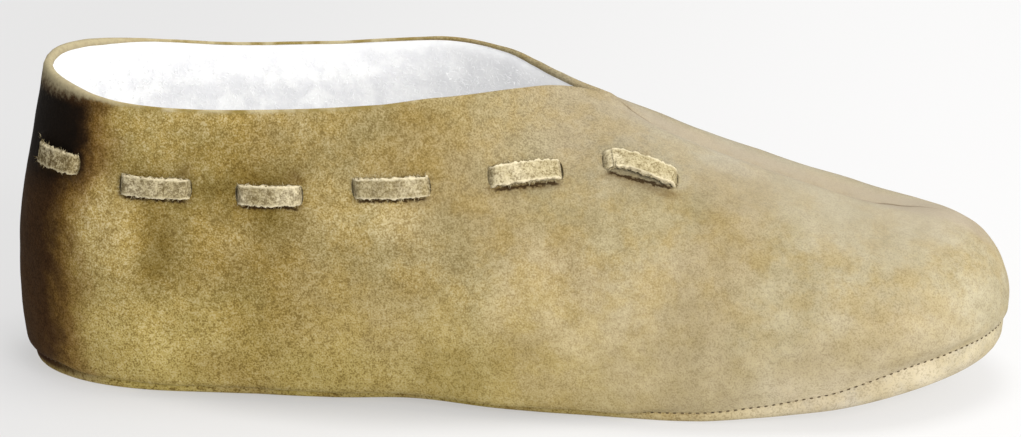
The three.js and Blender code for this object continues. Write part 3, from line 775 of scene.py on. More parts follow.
def stain_and_shade_the_heel(tree, place, axis, colour):
    """Warm, then brown, and almost black below the collar, each behind the same ragged border: partly a stain and
    partly painted shade.
    """
    border = plus(tree, axis["X"], times(tree, cloud(tree, place, 9, 5, 0.65), 16.0))
    border = minus(tree, border, spread(tree, axis["Z"], 44, 70, 0, 11))
    border = minus(tree, border, spread(tree, axis["Z"], 32, 24, 0, 1))
    colour = blend_colour(tree, spread(tree, border, *HEEL_WARM_X), colour, HEEL_WARM, "MULTIPLY")
    stained_and_shaded = blend_colour(tree, 1.0, colour, HEEL_STAIN_AND_SHADE, "MULTIPLY")
    stained_and_shaded = blend_colour(tree, 0.2, stained_and_shaded, HEEL_BROWN)
    colour = blend_colour(tree, spread(tree, border, *HEEL_BROWN_X), colour, stained_and_shaded)
    black = times(tree, spread(tree, border, *HEEL_BLACK_X), spread(tree, axis["Z"], *HEEL_BLACK_Z))
    black = times(tree, black, spread(tree, axis["Z"], *RIM_UNDARKENED_Z))
    return blend_colour(tree, times(tree, black, 0.9), colour, HEEL_BLACK)


def shade_bars_and_wear_rim(tree, place, axis, colour):
    """Painted shadow with some soiling round the bars, and a cream and olive edge where the collar's rim is worn."""
    spotty = spread(tree, cloud(tree, place, 1.6, 2, 0.6), 0.3, 0.6, 0.35, 0.75)
    colour = blend_colour(tree, times(tree, stored_value(tree, "bar_shadow_grime"), spotty), colour, SHADE_AND_GRIME_BROWN)
    uneven = spread(tree, cloud(tree, place, 1.2, 3, 0.6), 0.3, 0.7, -0.12, 0.12)
    frayed = plus(tree, stored_value(tree, "rim_wear"), uneven)
    mixed = spread(tree, cloud(tree, place, 8, 3, 0.6), 0.4, 0.6)
    tint = blend_colour(tree, mixed, SUEDE_OLIVE, RIM_CREAM)
    tint = blend_colour(tree, spread(tree, axis["X"], *CREAM_RIM_ENDS_X), RIM_CREAM, tint)
    return blend_colour(tree, spread(tree, frayed, 0.3, 1.1, 0.0, 0.85), colour, tint)


def tune_upper(tree, nap, place, colour):
    """All that changes from place to place on the upper, from its dye to its wear."""
    axis = split_axes(tree, place)
    tone_and_light_the_hide(tree, nap, place, axis)
    patchy = spread(tree, cloud(tree, place, 5, 3, 0.6), 0.3, 0.6, 0.6, 1.1)
    colour = uneven_tone(tree, place, colour, times(tree, placed_light(tree, axis), patchy))
    colour = paint_top_sheen_and_seam(tree, axis, colour)
    colour = stain_and_shade_the_heel(tree, place, axis, colour)
    return shade_bars_and_wear_rim(tree, place, axis, colour)


# %% Sole, lace and the suedes themselves
def tune_sole(tree, nap, place, colour):
    """Olive along the sides like the upper, pale at the toe, partly painted light, and dark at the heel, partly
    painted shade.
    """
    axis = split_axes(tree, place)
    towards_toe = spread(tree, axis["X"], 10, 95)
    feed(tree, nap.inputs["Base"], blend_colour(tree, towards_toe, SOLE_OLIVE, SOLE_PALE))
    at_toe = spread(tree, axis["X"], 30, 100)
    feed(tree, nap.inputs["Patch"], blend_colour(tree, at_toe, SUEDE_GOLD, SUEDE_SHEEN_PALE))
    feed(tree, nap.inputs["Dot strength"], spread(tree, axis["X"], -20, 80, 0.8, 0.3))
    border = plus(tree, axis["X"], times(tree, cloud(tree, place, 9, 4, 0.6), 16.0))
    brown = times(tree, spread(tree, border, -98, -114), spread(tree, axis["Z"], 0.6, 3.0))
    return blend_colour(tree, brown, uneven_tone(tree, place, colour), HEEL_BROWN)


def tune_lace(tree, nap, place, colour):
    """The thong's cut sides are pale, its middle is dirtier, and all of it is darker towards the heel, partly soiling
    and partly painted shade.
    """
    side = stored_value(tree, "cut_side")
    axis = split_axes(tree, place)
    spots = spread(tree, cloud(tree, place, 1.5, 5, 0.8), 0.42, 0.58)
    shade_and_dirt = times(tree, spots, spread(tree, axis["X"], -125, -98, 1.0, 0.7, smooth=False))
    shade_and_dirt = times(tree, shade_and_dirt, spread(tree, axis["X"], -90, 20, 1.0, 0.25, smooth=False))
    shade_and_dirt = times(tree, shade_and_dirt, spread(tree, side, 0.05, 0.6, 1.0, 0.1))
    colour = blend_colour(tree, shade_and_dirt, colour, LACE_DIRT_AND_SHADE)
    pale_sides_toward_toe = spread(tree, axis["X"], -125, -70, 0.35, 0.85)
    pale = times(tree, spread(tree, side, 0.1, 0.8), pale_sides_toward_toe)
    return blend_colour(tree, pale, colour, LACE_BEIGE)


UPPER_COLOURS = (SUEDE_OLIVE, SUEDE_GOLD, SUEDE_ROSE, SUEDE_DOTS, SUEDE_TIPS)
suede_upper = suede_material("suede_upper", UPPER_COLOURS, 2.1, 0.9, 0.4, 0.35, 0.02, tune_upper)
RAW_COLOURS = (RAW_EDGE, SUEDE_BEIGE, SUEDE_ROSE, LACE_DOTS, SUEDE_TIPS)
suede_raw = suede_material("suede_raw_edge", RAW_COLOURS, 3.0, 0.4, 0.4, 0.3, 0.05)
SOLE_COLOURS = (SOLE_OLIVE, SUEDE_GOLD, SUEDE_ROSE, SUEDE_DOTS, SUEDE_TIPS)
suede_sole = suede_material("suede_sole", SOLE_COLOURS, 1.8, 0.5, 0.3, 0.35, 0.02, tune_sole)
LACE_COLOURS = (LACE_TAN, LACE_BEIGE, LACE_CLOUD, LACE_DOTS, LACE_BEIGE)
suede_lace = suede_material("suede_lace", LACE_COLOURS, 1.9, 0.6, 0.35, 0.4, 0.05, tune_lace)
print("suede materials ready")


# %% Fleece and thread
def build_fleece(name, white, shade):
    material, tree, shader = new_material(name)
    place = place_in_mm(tree)
    lumps = spread(tree, cloud(tree, place, 5, 3, 0.6), 0.35, 0.65)
    colour = blend_colour(tree, lumps, shade, white)
    # Painted shade: the fleece turns greyer from the middle of the opening towards the toe.
    painted_shade_share = spread(tree, split_axes(tree, place)["X"], -60, 0, 0, 0.6)
    feed(tree, shader.inputs["Base Color"], blend_colour(tree, painted_shade_share, colour, FLEECE_PAINTED_SHADE))
    curls = cloud(tree, place, 0.9, 4, 0.7)
    add_bump(tree, shader, curls, 0.35, 0.5)
    feed(tree, shader.inputs["Roughness"], spread(tree, curls, 0.3, 0.7, 1.0, 0.9))
    # The emission is a painted glow that lifts the fleece out of the slipper's shade.
    set_inputs(shader, {
        "Specular IOR Level": MATT_SHINE,
        "Emission Color": (1.0, 1.0, 1.0, 1.0),
        "Emission Strength": 0.36,
        "Subsurface Weight": 0.6,
        "Subsurface Scale": 3.0 * MM,
        "Subsurface Radius": (1.0, 1.0, 1.0),
    })
    return material


def build_thread():
    material, tree, shader = new_material("seam_thread")
    place = place_in_mm(tree)
    twist = spread(tree, cloud(tree, place, 0.4, 2, 0.5), 0.3, 0.7)
    feed(tree, shader.inputs["Base Color"], blend_colour(tree, twist, THREAD_BROWN, THREAD_TAN))
    feed(tree, shader.inputs["Roughness"], spread(tree, twist, 0, 1, 0.7, 0.85))
    return material


fleece_white = build_fleece("fleece_white", FLEECE_WHITE, FLEECE_SHADE)
seam_thread = build_thread()

# %% [markdown]
# Camera and light first
#
# The camera stands where the photograph was taken from: almost square to the inner side, a little above it.
# Light comes from a large soft panel at the front and right and one above, so the heel falls dark and the
# toe stays pale. The floor glows a little, as lit white card does, brighter to the right as painted light,
# and less in an oval below the slipper as a painted shadow.

# %% Camera
CAMERA_TURN = math.radians(5)
CAMERA_LIFT = math.radians(18)
CAMERA_REACH = 1100.0
PIXELS_PER_MM = 3.72
FRAME_WIDTH_PX = 1021
FRAME_SHIFT_PX = (-0.5, 4.5)
SENSOR_MM = 36.0
TARGET = Vector((0, 0.305, 40)) * MM

back = Vector((
    math.sin(CAMERA_TURN) * math.cos(CAMERA_LIFT),
    -math.cos(CAMERA_TURN) * math.cos(CAMERA_LIFT),
    math.sin(CAMERA_LIFT),
))
camera_data = bpy.data.cameras.new("photo_camera")
camera_data.sensor_fit = "HORIZONTAL"
camera_data.sensor_width = SENSOR_MM
camera_data.lens = SENSOR_MM * PIXELS_PER_MM * CAMERA_REACH / FRAME_WIDTH_PX
camera_data.shift_x = FRAME_SHIFT_PX[0] / FRAME_WIDTH_PX
camera_data.shift_y = FRAME_SHIFT_PX[1] / FRAME_WIDTH_PX
camera = new_object("photo_camera", camera_data)
camera.location = TARGET + back * CAMERA_REACH * MM
camera.rotation_euler = back.to_track_quat("Z", "Y").to_euler()
bpy.context.scene.camera = camera
print("lens", round(camera_data.lens, 1), "mm")


# %% Floor, world and lamps
FLOOR_HALF = 3.0
FLOOR_GLOW = (0.5, 0.64)
CONTACT_MIDDLE_X = -22
CONTACT_REACH = (95, 56)
CONTACT_SHADE = 0.78


def soft_panel(name, place, size, power, colour):
    """A square lamp that faces the slipper."""
    data = bpy.data.lights.new(name, "AREA")
    data.shape = "SQUARE"
    data.size = size
    data.energy = power
    data.color = colour
    lamp = new_object(name, data)
    lamp.location = place
    lamp.rotation_euler = (Vector(place) - TARGET).to_track_quat("Z", "Y").to_euler()


def contact_shade(tree):
    """Weakens the floor's glow in an oval below the slipper's waist, a painted shadow where its shadow is deepest."""
    axis = split_axes(tree, place_in_mm(tree))
    run = math_node(tree, "DIVIDE", minus(tree, axis["X"], CONTACT_MIDDLE_X), CONTACT_REACH[0])
    side = math_node(tree, "DIVIDE", axis["Y"], CONTACT_REACH[1])
    return spread(tree, oval_gap(tree, run, side), 0.5, 1.1, CONTACT_SHADE, 1.0)


def build_floor():
    corners = [(x * FLOOR_HALF, y * FLOOR_HALF, 0) for x, y in ((-1, -1), (1, -1), (1, 1), (-1, 1))]
    mesh = bpy.data.meshes.new("studio_floor")
    mesh.from_pydata(corners, [], [(0, 1, 2, 3)])
    material, tree, shader = new_material("pale_floor")
    tint = cloud(tree, place_in_mm(tree), 400, 1, 0.5)
    feed(tree, shader.inputs["Base Color"], blend_colour(tree, tint, FLOOR_GREY, FLOOR_PALE))
    set_inputs(shader, {"Roughness": 0.9, "Emission Color": (1.0, 0.99, 0.98, 1.0)})
    across = split_axes(tree, place_in_mm(tree))["X"]
    # The glow grows towards the right, painted light, and the contact shade is a painted shadow.
    glow = spread(tree, across, -200, 160, *FLOOR_GLOW)
    feed(tree, shader.inputs["Emission Strength"], times(tree, glow, contact_shade(tree)))
    mesh.materials.append(material)
    floor = new_object("studio_floor", mesh)


build_floor()
soft_panel("key_panel", (0.95, -1.3, 0.7), 0.9, 25.0, (1.0, 0.985, 0.96))
soft_panel("top_panel", (0.15, 0.1, 1.7), 0.7, 15.0, (1.0, 1.0, 1.0))
world = bpy.data.worlds.new("pale_studio")
world.use_nodes = True
world.node_tree.nodes["Background"].inputs["Color"].default_value = (0.97, 0.98, 1.0, 1.0)
sky = world.node_tree
way = add_node(sky, "ShaderNodeSeparateXYZ")
feed(sky, way.inputs[0], add_node(sky, "ShaderNodeTexCoord").outputs["Generated"])
feed(sky, sky.nodes["Background"].inputs["Strength"], spread(sky, way.outputs["X"], -0.9, 0.6, 0.32, 0.9))
bpy.context.scene.world = world
bpy.context.scene.view_settings.view_transform = "Standard"

# %% [markdown]
# The lace's path
#
# One flat thong runs round the slipper below the collar. Its height is known at both ends of every bar, and
# a smooth table joins them. At each place it has a frame: out of the suede, along the thong and across it.
# The slots are punched in those frames and the thong is swept through them, so it always meets its holes.

# %% Height table and frames along the lace
LACE_HEIGHTS = {
    "at": [0.0] + [at for bar in LACE_BARS for at in bar[:2]] + [LACE_BARS[-1][1] + 0.06],
    "rise": [LACE_HEEL_RISE] + [rise for bar in LACE_BARS for rise in bar[2:]] + [LACE_BARS[-1][3] - 0.045],
}
TRACE_S = 1 + np.linspace(0, 1, 81)
FAR_BAR_DROP = 3.2


def s_at_height(side, t, height):
    """How far up each rib the wall reaches a height."""
    columns = on_upper(side[:, None], t[:, None], TRACE_S[None, :])[..., 2]
    return np.array([np.interp(h, z, TRACE_S) for h, z in zip(height, columns)])


def on_lace(station, lift=0.0):
    """Side, t and s of the lace's middle. A station is a rib's share, negative on the inner side."""
    station = np.asarray(station, float)
    side = np.where(station < 0, INNER, OUTER)
    t = np.abs(station)
    height = COLLAR_HEIGHT * read_table(LACE_HEIGHTS, "rise", t)
    height = height - FAR_BAR_DROP * (side > 0) * smooth_step(0.56, 0.61, t)
    return side, t, s_at_height(side, t, height + lift)


def unit(v):
    return v / np.maximum(np.linalg.norm(v, axis=-1), 1e-9)[..., None]


def lace_frames(station):
    """Point on the suede and the directions out of it, along the lace and across it."""
    probe = 1.2 / SHOE_LENGTH
    middle = on_upper(*on_lace(station))
    along = unit(on_upper(*on_lace(station + probe)) - on_upper(*on_lace(station - probe)))
    rise = unit(on_upper(*on_lace(station, 2.0)) - on_upper(*on_lace(station, -2.0)))
    out = unit(np.cross(rise, along))
    return middle, out, along, np.cross(along, out)


bar_ends = [at for bar in LACE_BARS for at in bar[:2]]
SLOT_STATIONS = np.array(sorted([-end for end in bar_ends] + bar_ends))
BAR_STARTS = range(0, len(SLOT_STATIONS), 2)
slot_middle, slot_out, slot_along, slot_across = lace_frames(SLOT_STATIONS)
print("slots:", len(SLOT_STATIONS))

# %% [markdown]
# A dark line under every bar
#
# Under a bar's lower edge the suede lies in the bar's shadow, painted here as a thin jagged dark line. It is
# finer than the upper's mesh, so it is drawn in the material: one node group makes the line, and it is
# placed once for each bar along the sides, with that bar's own middle, length and slope.

# %% Lines of painted shadow in the upper's material
BAR_SHADOW_DROP = 0.8
BAR_SHADOW_SHARE = 0.92


def build_bar_shadow():
    group, given, made = new_group(
        "dirt_under_a_bar",
        [
            ("Place", "NodeSocketVector", None),
            ("Middle", "NodeSocketVector", (0.0, 0.0, 0.0)),
            ("Half length", "NodeSocketFloat", 8.0),
            ("Slope", "NodeSocketFloat", 0.0),
            ("Half width", "NodeSocketFloat", 0.8),
        ],
        [("Mask", "NodeSocketFloat")],
    )
    place = split_axes(group, given["Place"])
    middle = split_axes(group, given["Middle"])
    along = minus(group, place["X"], middle["X"])
    line = plus(group, middle["Z"], times(group, along, given["Slope"]))
    jagged = spread(group, cloud(group, given["Place"], 1.3, 2, 0.6), 0.3, 0.7, -0.5, 0.5)
    jagged = times(group, jagged, given["Half width"])
    above = plus(group, minus(group, place["Z"], line), jagged)
    across = spread(group, math_node(group, "ABSOLUTE", above), given["Half width"], 0.15)
    ends = minus(group, given["Half length"], math_node(group, "ABSOLUTE", along))
    same_side = times(group, place["Y"], middle["Y"])
    mask = times(group, across, spread(group, ends, 0, 1.5))
    feed(group, made["Mask"], times(group, mask, spread(group, same_side, 0, 10)))
    return group


def darken_under_bars(material):
    """Places the painted shadow line under each bar, apart from the two at the heel, where the suede is dark already.
    """
    tree = material.node_tree
    shader = tree.nodes["Principled BSDF"]
    place = place_in_mm(tree)
    bar_shadow_group = build_bar_shadow()
    shade_and_dirt = 0.0
    for k in BAR_STARTS:
        if np.abs(SLOT_STATIONS[k:k + 2]).min() < LACE_BARS[1][0]:
            continue
        down = -slot_across[k:k + 2] * np.sign(slot_across[k:k + 2, 2:])
        ends = slot_middle[k:k + 2] + down * (LACE_WIDTH / 2 + BAR_SHADOW_DROP) + SHIFT
        run = ends[1] - ends[0]
        line = add_node(tree, "ShaderNodeGroup", node_tree=bar_shadow_group)
        feed(tree, line.inputs["Place"], place)
        set_inputs(line, {
            "Middle": (ends[0] + ends[1]) / 2,
            "Half length": abs(run[0]) / 2,
            "Slope": run[2] / run[0],
            "Half width": -0.8 * down[:, 2].mean() - 0.05,
        })
        shade_and_dirt = math_node(tree, "MAXIMUM", shade_and_dirt, line.outputs["Mask"])
    unshaded_colour = shader.inputs["Base Color"].links[0].from_socket
    bar_shaded_colour = blend_colour(tree, times(tree, shade_and_dirt, BAR_SHADOW_SHARE), unshaded_colour, BAR_SHADOW_BROWN)
    feed(tree, shader.inputs["Base Color"], bar_shaded_colour)


darken_under_bars(suede_upper)
# The line under the bars is painted shadow.
print("dirt under the bars on both sides")

# %% [markdown]
# Soft relief of the suede
#
# The upper is one skin over an empty space, so it never lies perfectly smooth. The main creases are
# listed, each as a short line on the surface with a width and a depth: a dent behind the heel's first bar,
# a shallow fold where the vamp bends, small puckers along the turned seam. Every slot has a raised lip, the
# thong presses the suede down between its slots, and a very low ripple covers the rest.

# %% Creases: side, start (t, s), end (t, s), half width, depth (troughs are positive)
CREASES = [
    (INNER, (0.145, 1.42), (0.165, 0.95), 6.5, 0.9),
    (INNER, (0.118, 1.5), (0.13, 1.05), 5.0, -0.5),
    (INNER, (0.30, 1.30), (0.36, 1.05), 9.0, 0.5),
    (INNER, (0.44, 1.62), (0.50, 1.25), 8.0, 0.45),
    (INNER, (0.56, 1.30), (0.60, 1.02), 9.0, 0.55),
    (INNER, (0.70, 1.62), (0.66, 1.2), 9.0, 0.6),
    (INNER, (0.80, 1.58), (0.77, 1.15), 8.0, 0.5),
    (INNER, (0.88, 1.66), (0.93, 1.42), 5.0, 0.6),
    (OUTER, (0.15, 1.4), (0.17, 0.95), 6.5, 0.8),
    (OUTER, (0.40, 1.4), (0.44, 1.05), 9.0, 0.6),
    (OUTER, (0.62, 1.6), (0.58, 1.15), 9.0, 0.7),
    (OUTER, (0.78, 1.6), (0.74, 1.15), 8.0, 0.6),
    (OUTER, (0.88, 1.66), (0.93, 1.42), 5.0, 0.6),
    (INNER, (0.02, 1.25), (0.02, 0.75), 7.0, 0.5),
]


def gaps_to(points, line):
    """Distance of every point from every point of a line."""
    return np.linalg.norm(points[:, None, :] - line[None, :, :], axis=2)


def crease_depth(points):
    """Sum of the listed creases at each point, in millimetres."""
    depth = np.zeros(len(points))
    for side, start, end, half_width, amount in CREASES:
        u = np.linspace(0, 1, 15)
        line = on_upper(side, start[0] + (end[0] - start[0]) * u, start[1] + (end[1] - start[1]) * u)
        fade = np.sin(np.pi * np.clip(u, 0.02, 0.98)) ** 0.6
        gap = gaps_to(points, line)
        depth += amount * (fade * np.exp(-((gap / half_width) ** 2))).max(axis=1)
    return depth


SLOT_LIP_HEIGHT = 0.42
SLOT_LIP_REACH = (1.9, 3.1)
BAR_DENT = 0.35
BAR_DENT_REACH = 3.6


def slot_relief(points):
    """Raised lips round the slots and the dent that each bar presses into the suede."""
    lift = np.zeros(len(points))
    for middle, out, along, across in zip(slot_middle, slot_out, slot_along, slot_across):
        local = points - middle
        near = np.linalg.norm(local, axis=1) < 12
        a = local[near] @ along
        w = local[near] @ across
        ring = np.hypot(a / SLOT_LIP_REACH[0], w / SLOT_LIP_REACH[1])
        lift[near] += SLOT_LIP_HEIGHT * np.exp(-(((ring - 1.25) / 0.38) ** 2))
    for k in BAR_STARTS:
        stations = np.linspace(SLOT_STATIONS[k], SLOT_STATIONS[k + 1], 14)
        line = on_upper(*on_lace(stations))
        gap = gaps_to(points, line).min(axis=1)
        lift -= BAR_DENT * np.exp(-((gap / BAR_DENT_REACH) ** 2))
    return lift


def bar_shadow_and_grime(points):
    """Painted shadow with some soiling round each bar's lower edge, and a soiled spot over the toe end of two bars."""
    shade_and_dirt = np.zeros(len(points))
    for k in BAR_STARTS:
        stations = np.linspace(SLOT_STATIONS[k], SLOT_STATIONS[k + 1], 40)
        line = on_upper(*on_lace(stations, -LACE_WIDTH / 2 - 0.25))
        gap = gaps_to(points, line).min(axis=1)
        shade_and_dirt = np.maximum(shade_and_dirt, np.exp(-((gap / 0.95) ** 2)))
    for bar in LACE_BARS[1:3]:
        spot = on_upper(*on_lace(np.array([-bar[1] + 0.004]), LACE_WIDTH / 2 + 1.6))
        gap = np.linalg.norm(points - spot, axis=1)
        shade_and_dirt = np.maximum(shade_and_dirt, 0.75 * np.exp(-((gap / 2.6) ** 2)))
    return shade_and_dirt


def seam_puckers(points, t, s):
    """Small gathers where the upper turns under to the sole, and a tuck along the seam itself."""
    run = t * SHOE_LENGTH
    gather = np.sin(run / 2.9 + 1.4 * np.sin(run / 11)) * np.exp(-((s / 0.45) ** 2))
    toe = smooth_step(0.6, 0.72, t)
    return (0.1 + 0.06 * toe) * gather + (0.5 - 0.42 * toe) * np.exp(-(((s - 0.25) / 0.18) ** 2))


def hanging_edge(t, s):
    """How far the soft side sinks over the seam, behind the toe and clear of the heel."""
    along = smooth_step(0.03, 0.09, t) * (1 - smooth_step(0.6, 0.7, t))
    return 2.0 * along * np.exp(-(((s - 0.3) / 0.2) ** 2)) * smooth_step(0, 0.12, s)


# %% [markdown]
# The front seam
#
# The two halves of the vamp are sewn face to face and turned, which leaves a narrow sunken line down the
# middle of the soft trough, with a tight gather at every few stitches. It is pressed in as geometry, starts
# softly at the throat and all but closes before the toe.

# %% The outside of the upper
SEAM_LINE_DEPTH = 0.9
SEAM_LINE_HALF_WIDTH = 0.9
BROAD_RIPPLE = (0.55, 38)
FINE_RIPPLE = (0.16, 9)
EDGE_SHARE = 0.3
MIDDLE_OF_SHOE = np.array([SHOE_LENGTH / 2, 0, 30])


def front_seam_line(points, share, s):
    """Depth of the sunken line, deepest in the middle of the vamp and fading towards the toe."""
    near_line = np.exp(-((points[:, 1] / SEAM_LINE_HALF_WIDTH) ** 2))
    gather = 1 + 0.25 * np.sin(points[:, 0] / 1.3)
    opens = smooth_step(THROAT_AT, THROAT_AT + 0.03, share) * smooth_step(1.05, 1.45, s)
    closes = 1 - 0.8 * smooth_step(0.82, 0.92, share)
    return SEAM_LINE_DEPTH * near_line * gather * opens * closes


grid_side = np.repeat(COLUMN_SIDE, len(ROW_S))
grid_t = np.repeat(COLUMN_T, len(ROW_S))
grid_s = np.tile(ROW_S, COLUMNS)
plain = on_upper(grid_side, grid_t, grid_s)
ids = grid_ids(len(ROW_S))
quads = grid_quads(ids)
plain_out = vertex_normals(plain, quads)
if (plain_out * (plain - MIDDLE_OF_SHOE)).sum() < 0:
    quads = quads[:, ::-1]
    plain_out = -plain_out
relief = slot_relief(plain) - crease_depth(plain)
relief += seam_puckers(plain, grid_t, grid_s)
relief -= front_seam_line(plain, top_share_at(grid_t), grid_s)
for seed, (height, reach) in enumerate((BROAD_RIPPLE, FINE_RIPPLE), 1):
    relief += height * ripple(plain, reach, seed)
relief[ids[:, 0]] *= EDGE_SHARE
skin = plain + plain_out * relief[:, None]
skin[:, 2] -= hanging_edge(grid_t, grid_s)
skin_out = vertex_normals(skin, quads)
bar_shadow_grime = bar_shadow_and_grime(plain)
print("relief from", relief.min().round(2), "to", relief.max().round(2), "mm")

# %% [markdown]
# From a skin to a wall
#
# The suede is a good millimetre and a half thick. The inside is the outside moved in along its own
# directions, and the collar's cut edge is closed with a soft round of six narrow strips. Modelling the
# thickness here, and not with a modifier, lets the edge at the collar stay a little fuller than the wall,
# as rolled suede is.

# %% The wall of the upper
RIM_STRIPS = 6
WEAR_REACH = 1.2
THROAT_ROLL = 1.1
HEEL_ROLL = 1.6
HEEL_WEAR_REACH = 4.0
IS_OPEN = ~ON_CREST
BESIDE_OPENING = IS_OPEN | np.roll(IS_OPEN, -1)


def build_wall():
    """Points and faces of the suede wall, and how worn each point is, from 1 at the rim."""
    depth = np.full(len(skin), UPPER_WALL)
    near_top = smooth_step(1.9, 2.0, grid_s) * IS_OPEN[np.repeat(np.arange(COLUMNS), len(ROW_S))]
    throat = smooth_step(0.43, 0.56, grid_t) * (grid_side > 0)
    heel = 1 - smooth_step(0.03, 0.12, grid_t)
    depth += (RIM_WALL + THROAT_ROLL * throat + HEEL_ROLL * heel - UPPER_WALL) * near_top
    inside = skin - skin_out * depth[:, None]
    points = [skin, inside]
    count = 2 * len(skin)
    inner_ids = ids + len(skin)
    turned = not np.array_equal(quads, grid_quads(ids))
    faces = [quads, grid_quads(inner_ids, flip=not turned)]
    top_out = skin[ids[:, -1]]
    top_in = inside[ids[:, -1]]
    up = unit(top_out - skin[ids[:, -2]])
    half = np.linalg.norm(top_out - top_in, axis=1)[:, None] / 2
    strips = [ids[:, -1]]
    for k in range(1, RIM_STRIPS):
        turn = np.pi * k / RIM_STRIPS
        share = (1 - math.cos(turn)) / 2
        rolled = top_out * (1 - share) + top_in * share + up * half * math.sin(turn) * 0.9
        rolled[ON_CREST] = (rolled[ON_CREST] + rolled[MIRROR[ON_CREST]]) / 2
        points.append(rolled)
        strips.append(count + np.arange(COLUMNS))
        count += COLUMNS
    strips.append(inner_ids[:, -1])
    for low, high in zip(strips[:-1], strips[1:]):
        faces.append(strip_between(low, high)[BESIDE_OPENING])
    faces.append(strip_between(ids[:, 0], inner_ids[:, 0]))
    below = np.linalg.norm(np.diff(skin[ids], axis=1), axis=2)
    below = np.concatenate([np.cumsum(below[:, ::-1], axis=1)[:, ::-1], np.zeros((COLUMNS, 1))], 1)
    reach = WEAR_REACH + HEEL_WEAR_REACH * (1 - smooth_step(0.0, 0.09, COLUMN_T))[:, None]
    kept = IS_OPEN * (1 - 0.9 * smooth_step(0.36, 0.5, COLUMN_T))
    wear = (kept[:, None] * np.exp(-below / reach)).ravel()
    wear = np.concatenate([wear, wear, np.tile(kept, RIM_STRIPS - 1)])
    return np.concatenate(points), np.concatenate(faces), wear


wall_points, wall_faces, rim_wear = build_wall()
upper = make_mesh("upper_suede", wall_points, wall_faces, suede_upper, suede_raw)
add_values(upper, "rim_wear", rim_wear)
rim_points = COLUMNS * (RIM_STRIPS - 1)
add_values(upper, "bar_shadow_grime", np.concatenate([bar_shadow_grime, bar_shadow_grime, np.zeros(rim_points)]))
add_values(upper, "facing_up", np.concatenate([skin_out[:, 2], skin_out[:, 2], np.ones(rim_points)]))
tidy_mesh(upper, merge=2e-6)
print("upper wall:", triangles(upper), "triangles,", open_edges(upper), "open edges")

# %% [markdown]
# Punching the slots
#
# A maker punches each slot with one blow of an oval punch. A Geometry Nodes tree stands a punch on every
# slot's place, turned by its frame, and one Boolean cuts them all. The cut faces take the raw edge's
# material, because a fresh cut shows the pale inside of the hide.

# %% An oval punch on every slot
SLOT_LENGTH = 2.5
SLOT_WIDTH = 5.3
PUNCH_DEPTH = 5.0
HEELWARD_SHIFT = 0.45
TOEWARD_SHIFT = 0.3


def oval_punch(name, long_mm, wide_mm, deep_mm, corners=20):
    """A capsule-shaped prism along its own Z, long in X and wide in Y."""
    turn = np.linspace(0, 2 * np.pi, corners, endpoint=False)
    bend = 2 / 2.6
    x = long_mm / 2 * np.sign(np.cos(turn)) * np.abs(np.cos(turn)) ** bend
    y = wide_mm / 2 * np.sign(np.sin(turn)) * np.abs(np.sin(turn)) ** bend
    low = np.stack([x, y, np.full(corners, -deep_mm)], 1)
    high = np.stack([x, y, np.full(corners, deep_mm)], 1)
    faces = [tuple(range(corners))[::-1], tuple(range(corners, 2 * corners))]
    for k in range(corners):
        n = (k + 1) % corners
        faces.append((k, n, corners + n, corners + k))
    mesh = bpy.data.meshes.new(name)
    mesh.from_pydata((np.concatenate([low, high]) * MM).tolist(), [], faces)
    mesh.materials.append(suede_upper)
    mesh.materials.append(suede_raw)
    for polygon in mesh.polygons:
        polygon.material_index = 1
    return new_object(name, mesh)


def points_with_turns(name, places, turns, **values):
    """A mesh of loose points that carry a turn and any number of values for a node tree."""
    mesh = bpy.data.meshes.new(name)
    mesh.from_pydata(((places + SHIFT) * MM).tolist(), [], [])
    attribute = mesh.attributes.new("turn", "FLOAT_VECTOR", "POINT")
    attribute.data.foreach_set("vector", np.asarray(turns, float).ravel())
    for key, data in values.items():
        attribute = mesh.attributes.new(key, "FLOAT", "POINT")
        attribute.data.foreach_set("value", np.asarray(data, float))
    return new_object(name, mesh)


def frame_turns(x_way, y_way, z_way):
    """Euler turns of frames given by their three directions."""
    return [Matrix(np.stack([x, y, z], 1).tolist()).to_euler() for x, y, z in zip(x_way, y_way, z_way)]


def new_tree(name, inputs):
    """A Geometry Nodes tree with one geometry in and out and named inputs."""
    tree = bpy.data.node_groups.new(name, "GeometryNodeTree")
    tree.interface.new_socket("Geometry", in_out="INPUT", socket_type="NodeSocketGeometry")
    for label, kind, start in inputs:
        socket = tree.interface.new_socket(label, in_out="INPUT", socket_type=kind)
        if start is not None:
            socket.default_value = start
    tree.interface.new_socket("Geometry", in_out="OUTPUT", socket_type="NodeSocketGeometry")
    return tree, tree.nodes.new("NodeGroupInput").outputs, tree.nodes.new("NodeGroupOutput").inputs


def evaluated_mesh(obj):
    bpy.context.view_layer.update()
    evaluated = obj.evaluated_get(bpy.context.evaluated_depsgraph_get())
    return bpy.data.meshes.new_from_object(evaluated)


def run_tree(obj, tree, name, **inputs):
    """Runs a tree on an object and returns the result as a plain mesh object."""
    modifier = obj.modifiers.new(tree.name, "NODES")
    modifier.node_group = tree
    for item in tree.interface.items_tree:
        key = item.name.replace(" ", "_").lower()
        if item.in_out == "INPUT" and key in inputs:
            modifier[item.identifier] = inputs[key]
    mesh = evaluated_mesh(obj)
    mesh.name = name
    obj.modifiers.remove(modifier)
    return new_object(name, mesh)


def realize_and_dress(tree, given, made, instances):
    """The end of every tree here: instances become real geometry and get their material."""
    real = add_node(tree, "GeometryNodeRealizeInstances")
    feed(tree, real.inputs[0], instances.outputs[0])
    dressed = add_node(tree, "GeometryNodeSetMaterial")
    feed(tree, dressed.inputs["Geometry"], real.outputs[0])
    feed(tree, dressed.inputs["Material"], given["Material"])
    feed(tree, made["Geometry"], dressed.outputs[0])


